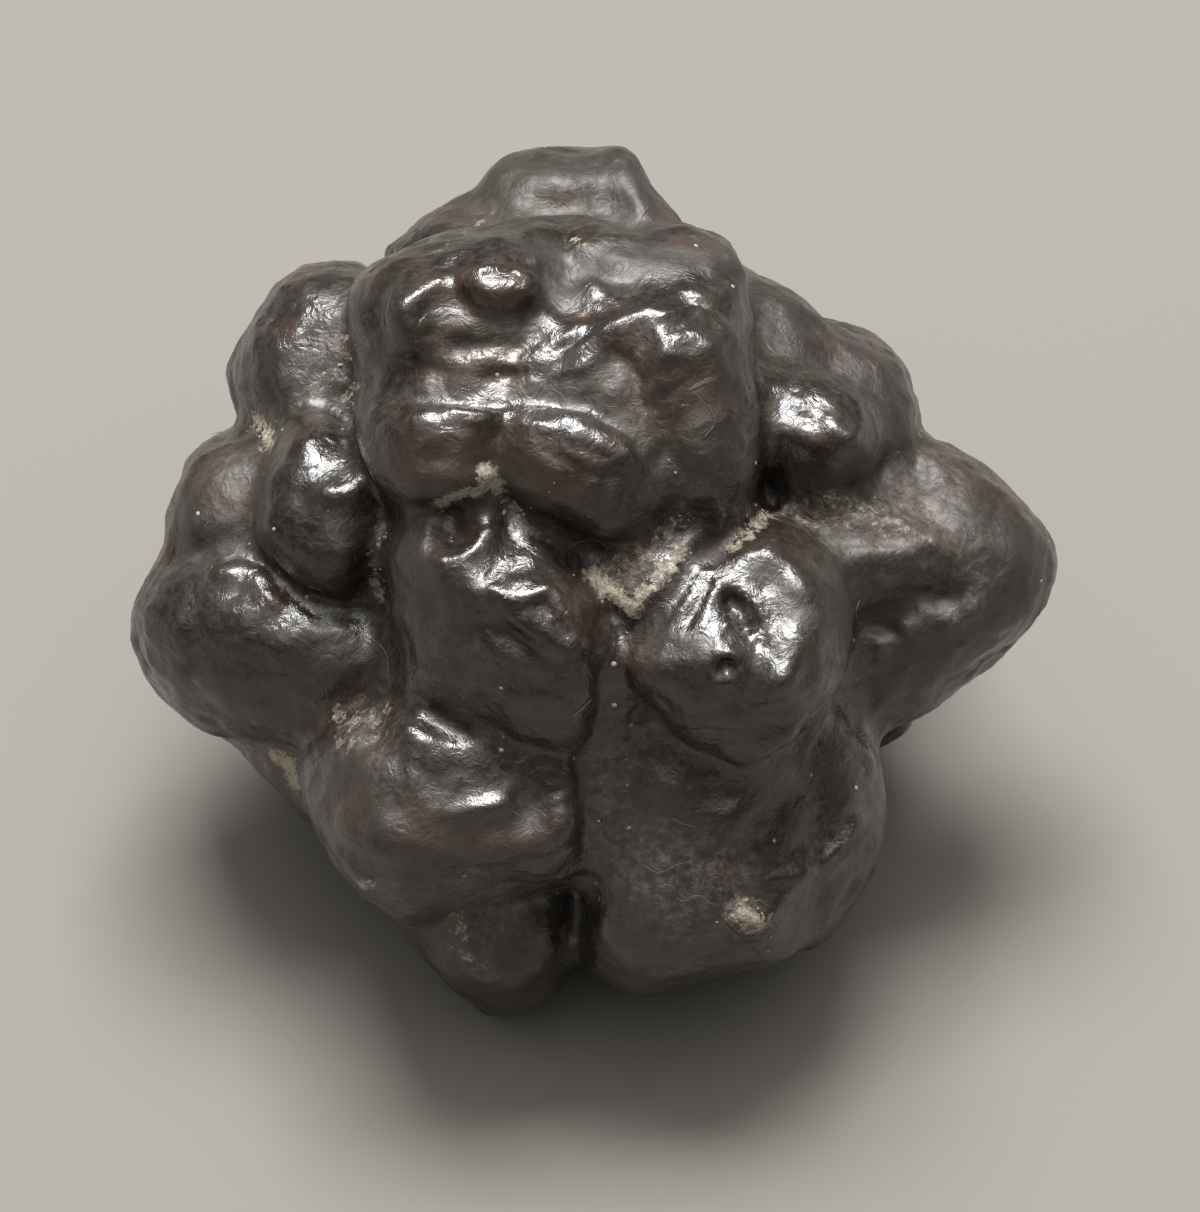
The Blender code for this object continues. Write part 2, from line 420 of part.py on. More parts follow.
def work_skin(stone):
    """Raises the ridges and presses the hollows where the viewer sees them on the skin."""
    mesh = stone.data
    places = np.empty(len(mesh.vertices) * 3)
    mesh.vertices.foreach_get("co", places)
    places = places.reshape(-1, 3)
    eye = view_axes()[2] * VIEW_DISTANCE * MM
    tree = BVHTree.FromPolygons(
        [vertex.co for vertex in mesh.vertices], [face.vertices for face in mesh.polygons])
    moved = places.copy()
    for stroke in STROKES:
        nearest = np.full(len(places), np.inf)
        outward = np.zeros_like(places)
        for seen in open_line(stroke.route):
            spot, normal = tree.ray_cast(eye, placed(seen, 0.0) - eye)[:2]
            if spot is None:
                continue
            distance = np.linalg.norm(places - np.array(spot), axis=1) / (stroke.width * MM)
            closer = distance < nearest
            nearest[closer] = distance[closer]
            outward[closer] = normal
        weight = np.clip(1.0 - nearest ** 2, 0.0, 1.0) ** 2
        moved += outward * (weight * stroke.lift * MM)[:, None]
    mesh.vertices.foreach_set("co", moved.ravel())
    mesh.update()


def thin_out(stone):
    """Leaves as few triangles as the forms need: each face of the fused skin is two."""
    soften(stone, 1)
    thin = stone.modifiers.new("thin", "DECIMATE")
    thin.ratio = TRIANGLES / (2.0 * len(stone.data.polygons))
    settle(stone)


def cut_feet(mesh):
    """Cuts the lowest knobs flat where the stone rests."""
    cut = bmesh.new()
    cut.from_mesh(mesh)
    bmesh.ops.bisect_plane(
        cut, geom=cut.verts[:] + cut.edges[:] + cut.faces[:], dist=FOOT_TOLERANCE * MM,
        plane_co=(0.0, 0.0, FLOOR * MM), plane_no=(0.0, 0.0, -1.0), clear_outer=True)
    rims = [edge for edge in cut.edges if edge.is_boundary]
    bmesh.ops.holes_fill(cut, edges=rims)
    bmesh.ops.triangulate(cut, faces=cut.faces[:])
    bmesh.ops.recalc_face_normals(cut, faces=cut.faces[:])
    cut.to_mesh(mesh)
    cut.free()


def stand(stone):
    """Puts the origin at the middle of the stone's box, on the surface that it rests on."""
    corners = np.array([vertex.co for vertex in stone.data.vertices])
    low, high = corners.min(axis=0), corners.max(axis=0)
    middle = (low + high) / 2.0
    stone.data.transform(Matrix.Translation((-middle[0], -middle[1], -low[2])))


def make_stone():
    knobs = bmesh.new()
    add_core(knobs)
    for knob in KNOBS:
        add_knob(knobs, knob)
    for boss in BOSSES:
        add_boss(knobs, boss)
    rough = bpy.data.meshes.new("knobs")
    knobs.to_mesh(rough)
    knobs.free()
    stone = bpy.data.objects.new("stone", rough)
    bpy.context.scene.collection.objects.link(stone)
    fuse(stone)
    work_skin(stone)
    thin_out(stone)
    cut_feet(stone.data)
    stand(stone)
    stone.data.materials.append(stone_material())
    stone.data.shade_smooth()
    return stone


def main():
    for obj in list(bpy.data.objects):
        bpy.data.objects.remove(obj)
    make_stone()


main()
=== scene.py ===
"""The looks of the prophecy stone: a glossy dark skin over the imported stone, with crust and dust."""

import json
import math
import random
from collections import namedtuple

import bpy
import numpy as np
from mathutils import Matrix, Vector
from mathutils.bvhtree import BVHTree

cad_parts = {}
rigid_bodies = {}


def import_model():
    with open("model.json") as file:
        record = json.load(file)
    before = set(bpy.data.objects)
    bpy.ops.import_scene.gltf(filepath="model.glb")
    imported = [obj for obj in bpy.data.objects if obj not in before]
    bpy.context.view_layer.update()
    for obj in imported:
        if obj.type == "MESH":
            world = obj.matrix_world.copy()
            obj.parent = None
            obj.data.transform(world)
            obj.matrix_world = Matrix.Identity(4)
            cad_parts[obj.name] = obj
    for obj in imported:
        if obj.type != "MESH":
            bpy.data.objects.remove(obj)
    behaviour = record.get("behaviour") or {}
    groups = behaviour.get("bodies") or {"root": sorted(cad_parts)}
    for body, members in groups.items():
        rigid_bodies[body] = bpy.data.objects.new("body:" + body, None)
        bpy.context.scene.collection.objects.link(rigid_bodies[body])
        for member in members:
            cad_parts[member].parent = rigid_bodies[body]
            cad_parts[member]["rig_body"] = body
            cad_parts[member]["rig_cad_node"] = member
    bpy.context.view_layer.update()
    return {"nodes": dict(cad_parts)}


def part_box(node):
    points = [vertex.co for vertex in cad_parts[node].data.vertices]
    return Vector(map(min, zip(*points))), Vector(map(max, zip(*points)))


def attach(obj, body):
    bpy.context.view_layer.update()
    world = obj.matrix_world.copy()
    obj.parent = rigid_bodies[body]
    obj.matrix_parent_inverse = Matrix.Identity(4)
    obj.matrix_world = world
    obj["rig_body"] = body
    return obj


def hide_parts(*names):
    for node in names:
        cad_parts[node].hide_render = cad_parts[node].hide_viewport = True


MM = 0.001

# The view that the lines on the skin are placed in, and the camera's offset from it
VIEW_ELEVATION = math.radians(50.0)
VIEW_DISTANCE = 0.230
STONE_MIDDLE = Vector((0.09, -0.24, 16.0)) * MM
CAMERA_OFFSET = (0.29 * MM, -1.27 * MM)
CAMERA_SENSOR = 36.0
FRAME_HEIGHT = 0.05912

# How fine the skin is, and how it is smoothed before any work on it
MERGE_DISTANCE = 0.001 * MM
FINE_VOXEL = 0.3 * MM
SMOOTH_SHARE = 0.5
SMOOTH_ROUNDS = 4

# The uneven lumps all over it: pattern, size and height in millimetres
LUMPS = (("CLOUDS", 2.4, 0.3), ("VORONOI", 1.7, 0.22), ("CLOUDS", 1.0, 0.16), ("CLOUDS", 0.55, 0.07))

# How far folds are evened out and hollows are measured, in rounds of neighbours
EASE_ROUNDS = 120
HOLLOW_ROUNDS = 40

# A line on the skin. Its lift is a height in millimetres, or a strength up to 1 where the line changes
# the looks alone. Its width is in millimetres, and its route in millimetres right of and above the
# middle, as the camera sees them. Its points are laid a short step apart.
Line = namedtuple("Line", "lift width route")
LINE_STEP = 0.2

# The soft studio light by height above the horizon, from 0 to 1 straight up
SKY = (
    (0.0, (0.06, 0.06, 0.06, 1.0)),
    (0.45, (0.22, 0.215, 0.205, 1.0)),
    (0.75, (0.8, 0.785, 0.75, 1.0)),
    (0.93, (1.9, 1.86, 1.78, 1.0)),
    (1.0, (2.6, 2.54, 2.42, 1.0)),
)

# The overhead panel: where it hangs and its size in metres, and its power in watts
PANEL_PLACE = (-0.02, 0.09, 0.445)
PANEL_SIZE = (0.24, 0.17)
PANEL_POWER = 4.8

# The floor
FLOOR_SIZE = 1.6
FLOOR_COLOUR = (0.165, 0.156, 0.142, 1.0)
FLOOR_ROUGHNESS = 0.9
FLOOR_SPECULAR = 0.1

# The colours of the skin and of what lies on it
DARK_OXIDE = (0.0085, 0.006, 0.0048, 1.0)
GREY_OXIDE = (0.0175, 0.0132, 0.0103, 1.0)
BROWN_OXIDE = (0.040, 0.020, 0.0105, 1.0)
DUSTY_OXIDE = (0.030, 0.024, 0.019, 1.0)
TAN_CRUST = (0.080, 0.062, 0.045, 1.0)
PALE_CRUST = (0.34, 0.30, 0.23, 1.0)
LINT_DARK = (0.07, 0.058, 0.05, 1.0)
DUST_GREY = (0.12, 0.10, 0.085, 1.0)
DUST_WHITE = (0.34, 0.31, 0.27, 1.0)

# Their gloss
OXIDE_IOR = 1.62
CRUST_ROUGHNESS = 0.9
DUST_ROUGHNESS = 0.95
LINT_ROUGHNESS = 0.8

# Where crust shows, the thick crust first
CRUST = (
    Line(1.0, 0.7, ((-7.5, 3.6), (-6.4, 4.1), (-5.5, 4.2), (-5.3, 5.3), (-4.7, 4.3))),
    Line(0.7, 0.5, ((-4.3, 3.7), (-3.4, 3.0))),
    Line(0.95, 0.9, ((0.1, 0.2), (0.6, -0.3), (1.2, -0.9), (1.7, -1.5))),
    Line(0.75, 0.8, ((2.0, -1.2), (2.8, -0.4), (4.2, 1.2))),
    Line(0.62, 1.2, ((1.2, 0.2), (2.4, 1.0), (3.8, 2.0))),
    Line(0.55, 0.8, ((4.4, 2.0), (4.4, 3.6))),
    Line(0.8, 0.7, ((6.8, 1.5), (7.6, 2.2), (8.4, 3.0), (9.2, 3.2))),
    Line(0.8, 0.9, ((-16.6, 8.0), (-15.9, 7.3), (-15.7, 6.5))),
    Line(0.55, 0.8, ((-13.6, 9.2), (-12.4, 10.4), (-12.3, 11.6))),
    Line(0.8, 0.5, ((-12.0, 8.8), (-11.5, 9.4))),
    Line(1.0, 1.0, ((-15.5, -8.7), (-14.8, -8.9), (-14.6, -9.9))),
    Line(0.8, 0.45, ((-10.7, 1.4), (-10.7, 0.0), (-10.4, -1.0))),
    Line(0.55, 0.4, ((-10.4, 2.6), (-10.3, 1.8))),
    Line(0.8, 1.3, ((7.1, -16.4), (8.1, -17.0))),
    Line(0.6, 0.8, ((11.6, 3.4), (13.2, 3.6))),
    Line(0.6, 1.4, ((9.8, 3.6), (12.0, 3.0), (14.0, 2.8))),
    Line(0.6, 1.0, ((-12.6, -6.8), (-11.2, -6.9), (-10.2, -6.6))),
    Line(0.45, 1.6, ((-12.2, -7.8), (-10.4, -7.8))),
    Line(0.7, 0.45, ((-1.0, 16.4), (-0.5, 16.3))),
    Line(0.55, 0.4, ((-0.2, 14.3), (0.1, 14.1))),
    Line(0.7, 0.8, ((-6.6, -16.4), (-6.5, -17.4))),
    Line(0.7, 0.9, ((-6.6, -18.2), (-5.6, -18.8))),
    Line(0.6, 0.6, ((-6.2, -14.2), (-6.1, -14.8))),
    Line(1.0, 0.6, ((-11.4, -14.9), (-10.9, -14.9))),
    Line(0.45, 0.5, ((11.2, -13.8), (12.2, -12.8), (12.9, -11.9))),
    Line(0.45, 0.5, ((13.0, -9.0), (13.0, -10.4))),
    Line(0.5, 0.4, ((-7.8, 15.8), (-5.0, 17.8))),
    Line(0.75, 0.4, ((9.4, 3.6), (10.5, 2.6), (11.7, 2.5))),
    Line(0.7, 1.2, ((11.4, 3.9), (12.8, 3.2))),
    Line(0.52, 0.5, ((13.7, 2.8), (14.8, 2.6), (16.5, 1.8))),
    Line(0.55, 0.4, ((15.7, 8.2), (15.9, 6.9))),
)
THICK_CRUST = CRUST[:14]

# Where the skin is dull
DULL = (
    Line(1.0, 4.5, ((-4.0, 18.4), (0.0, 18.8), (2.0, 18.0))),
    Line(0.9, 3.6, ((-18.0, 4.6), (-18.6, 2.6))),
    Line(0.5, 3.0, ((-13.0, 9.0), (-14.0, 12.6))),
    Line(0.7, 2.2, ((-8.0, 4.8), (-4.0, 4.4))),
    Line(0.9, 1.8, ((-2.4, 9.6), (0.4, 9.8), (1.9, 9.0))),
    Line(0.8, 1.6, ((-7.4, 11.6), (-3.4, 12.0))),
    Line(0.9, 1.2, ((-7.8, 10.8), (-6.2, 10.8))),
    Line(1.0, 2.0, ((0.4, 15.2), (2.0, 15.6), (6.0, 16.0))),
    Line(1.0, 1.6, ((-1.9, 15.7), (-1.8, 14.9), (-1.6, 13.9))),
    Line(0.8, 1.6, ((-8.8, 3.0), (-8.0, -1.6))),
    Line(1.0, 4.2, ((12.0, 2.0), (16.0, 2.4), (20.0, 0.4), (16.0, -3.0))),
    Line(1.0, 3.4, ((15.4, 5.4), (17.4, 3.0))),
    Line(1.0, 3.0, ((12.4, -1.4), (17.6, -2.0))),
    Line(0.8, 3.0, ((9.0, 12.6), (13.6, 9.6))),
    Line(0.9, 3.4, ((3.0, -12.0), (3.6, -16.0))),
    Line(0.8, 3.0, ((-7.0, -14.0), (-5.0, -18.0))),
    Line(0.8, 2.8, ((-12.0, -8.0), (-10.4, -10.8), (-7.4, -11.8), (-4.0, -12.2))),
    Line(0.5, 2.6, ((5.6, 6.4), (5.6, 9.4))),
)

# Where it is polished
POLISH = (
    Line(1.0, 1.2, ((-9.2, 13.2), (-8.6, 11.4))),
    Line(1.0, 1.2, ((-9.0, 13.4), (-7.2, 14.6))),
    Line(1.0, 1.7, ((-5.4, 14.4), (-3.4, 14.4))),
    Line(1.0, 1.0, ((-8.7, 7.9), (-7.0, 8.2), (-5.0, 7.9), (-3.0, 8.0), (0.0, 7.4), (1.6, 6.4))),
    Line(0.8, 1.6, ((-2.6, 6.8), (0.6, 5.8))),
    Line(1.0, 1.7, ((1.6, 12.7), (3.6, 13.2), (5.4, 13.4))),
    Line(1.0, 1.0, ((3.4, 11.8), (3.2, 10.4))),
    Line(1.0, 1.7, ((-2.0, 11.0), (-0.4, 12.0))),
    Line(0.9, 1.0, ((-6.4, 10.2), (-3.8, 10.4))),
    Line(1.0, 1.2, ((-7.2, 0.9), (-5.2, 2.2), (-3.4, 2.2))),
    Line(1.0, 1.3, ((-4.6, -0.8), (-2.6, -1.4), (-1.4, -2.6))),
    Line(1.0, 1.8, ((4.6, -1.2), (6.6, -1.6), (7.8, -2.4))),
    Line(1.0, 1.1, ((7.8, -5.3), (9.3, -4.5))),
    Line(1.0, 1.8, ((9.4, 8.0), (12.6, 7.0))),
    Line(1.0, 0.9, ((-13.0, 4.1), (-11.2, 4.6))),
    Line(0.9, 1.2, ((-18.2, 0.4), (-16.2, 0.2))),
    Line(0.8, 1.6, ((-14.8, 11.6), (-14.2, 13.0))),
    Line(1.0, 1.0, ((-9.1, -7.4), (-7.0, -9.5))),
    Line(1.0, 1.1, ((-1.6, -9.8), (-1.4, -12.0))),
    Line(0.8, 1.0, ((-5.8, -11.2), (-4.2, -11.0))),
    Line(0.8, 1.6, ((8.2, -9.8), (9.8, -10.4))),
)

# Where a film of dust lies on it
DUST = (
    Line(1.0, 3.0, ((2.6, -13.8), (4.4, -15.8), (5.6, -14.4))),
    Line(0.9, 2.4, ((-6.2, -14.6), (-4.4, -15.6), (-6.4, -17.2))),
    Line(0.9, 1.3, ((-6.4, -18.4), (-5.4, -19.0))),
    Line(0.6, 2.0, ((-12.2, -7.4), (-10.2, -7.0), (-9.6, -9.6))),
    Line(0.35, 2.4, ((-7.6, -12.0), (-4.4, -11.8), (-2.6, -11.6))),
    Line(1.0, 3.4, ((11.6, 3.0), (14.0, 2.6), (16.0, 3.6))),
    Line(0.9, 3.0, ((14.8, 0.4), (18.0, 0.4))),
    Line(0.9, 1.6, ((16.2, -1.4), (18.2, -1.8))),
    Line(0.8, 1.3, ((13.6, -3.0), (14.2, -3.6))),
    Line(0.8, 1.6, ((16.2, 6.0), (17.0, 4.8))),
    Line(0.6, 2.4, ((-18.2, 5.0), (-17.4, 2.8))),
    Line(0.7, 1.6, ((-13.4, 8.8), (-12.4, 11.0))),
    Line(0.6, 2.2, ((-3.6, 18.6), (0.4, 18.4))),
    Line(0.8, 1.4, ((3.0, 1.0), (5.2, 3.6))),
    Line(0.6, 2.2, ((-6.4, 11.8), (-2.8, 10.4))),
    Line(0.5, 2.4, ((1.6, 10.0), (2.4, 8.4))),
    Line(0.7, 1.0, ((11.0, -13.6), (12.8, -11.4), (13.2, -9.6))),
    Line(0.7, 1.4, ((0.6, -9.0), (0.4, -12.4))),
)

# Where it is stained brown
BROWN = (
    Line(1.0, 2.6, ((-8.0, 5.4), (-4.0, 5.2), (-2.6, 4.6))),
    Line(0.8, 2.4, ((-6.0, 11.6), (-4.4, 10.6))),
    Line(0.7, 2.2, ((1.6, 9.4), (3.6, 8.4), (5.0, 9.0))),
    Line(0.7, 1.6, ((-9.6, 1.4), (-9.4, -0.6))),
    Line(0.8, 2.2, ((-8.4, -11.6), (-6.6, -12.6), (-4.6, -12.4))),
    Line(0.6, 1.8, ((1.6, 0.6), (-0.6, -1.6))),
    Line(0.6, 2.0, ((-18.6, 5.2), (-17.4, 4.4))),
    Line(0.5, 2.6, ((14.0, 1.4), (17.0, 1.0))),
)

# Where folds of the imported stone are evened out
EASED = (
    Line(1.0, 2.6, ((8.8, -9.0), (9.0, -11.4), (8.6, -13.6))),
    Line(0.9, 1.5, ((-2.8, 11.9), (-1.0, 13.0), (1.4, 13.6))),
    Line(1.0, 2.4, ((-6.6, 11.6), (-4.6, 11.2), (-2.8, 11.4), (-1.6, 12.6), (-1.0, 13.6))),
    Line(0.9, 1.5, ((-9.6, 9.2), (-7.0, 9.0), (-4.0, 8.9), (-1.6, 9.0), (0.6, 8.3), (2.4, 7.2))),
    Line(0.8, 1.6, ((1.4, 13.9), (4.4, 14.2), (6.2, 13.6))),
    Line(0.9, 1.8, ((-7.0, -9.6), (-4.4, -9.0), (-2.8, -9.4))),
    Line(0.8, 1.5, ((0.7, -3.4), (0.9, -6.4), (0.2, -9.4))),
    Line(0.7, 1.4, ((0.2, -9.4), (0.4, -13.4))),
    Line(0.7, 1.4, ((3.0, -7.0), (5.4, -10.2), (8.0, -9.6))),
)

# Broad fills and hollows, worked before the folds are evened out
FILLS = (
    Line(0.35, 1.8, ((-2.4, 10.1), (-0.8, 10.7), (0.6, 11.5))),
    Line(0.3, 2.6, ((-5.8, 11.6), (-3.8, 11.6))),
    Line(0.5, 2.6, ((-5.4, 13.0), (-3.2, 12.8))),
    Line(0.4, 2.0, ((-5.8, 11.8), (-4.2, 11.6), (-2.8, 12.2))),
    Line(0.45, 1.8, ((-4.9, 12.7), (-3.7, 12.7))),
    Line(0.35, 1.3, ((-3.0, 14.3), (-2.8, 13.3))),
    Line(0.35, 1.7, ((8.2, -11.6), (9.8, -11.4))),
    Line(0.45, 2.3, ((1.2, 11.5), (3.4, 11.9), (5.6, 12.1))),
    Line(0.3, 1.8, ((-3.4, 6.4), (-1.0, 6.0), (1.6, 4.6))),
    Line(0.4, 2.2, ((-10.2, -9.8), (-7.4, -10.4), (-5.0, -10.0))),
    Line(0.2, 0.5, ((-8.9, 12.1), (-8.3, 12.3))),
    Line(0.2, 0.5, ((-8.8, 11.3), (-8.1, 11.5))),
    Line(0.25, 1.0, ((-5.4, 13.6), (-3.2, 13.4))),
    Line(-0.25, 0.9, ((-5.6, 15.5), (-3.2, 15.4))),
    Line(0.22, 0.8, ((-8.6, 7.6), (-6.4, 7.8), (-4.0, 7.7), (-1.0, 7.5), (1.6, 6.3))),
    Line(0.3, 1.3, ((-2.8, 19.4), (0.8, 19.3))),
    Line(-0.25, 1.2, ((-2.4, 18.0), (1.2, 18.1))),
    Line(0.25, 0.9, ((-3.4, -2.2), (-2.2, -3.2), (-1.2, -3.6))),
    Line(0.3, 1.7, ((-11.6, -12.0), (-8.6, -13.2), (-4.6, -13.2), (-1.2, -12.6))),
    Line(-0.3, 1.2, ((-5.0, 14.4), (-4.2, 14.2))),
    Line(0.25, 0.9, ((-11.0, 15.6), (-8.0, 16.9), (-4.0, 17.6))),
)

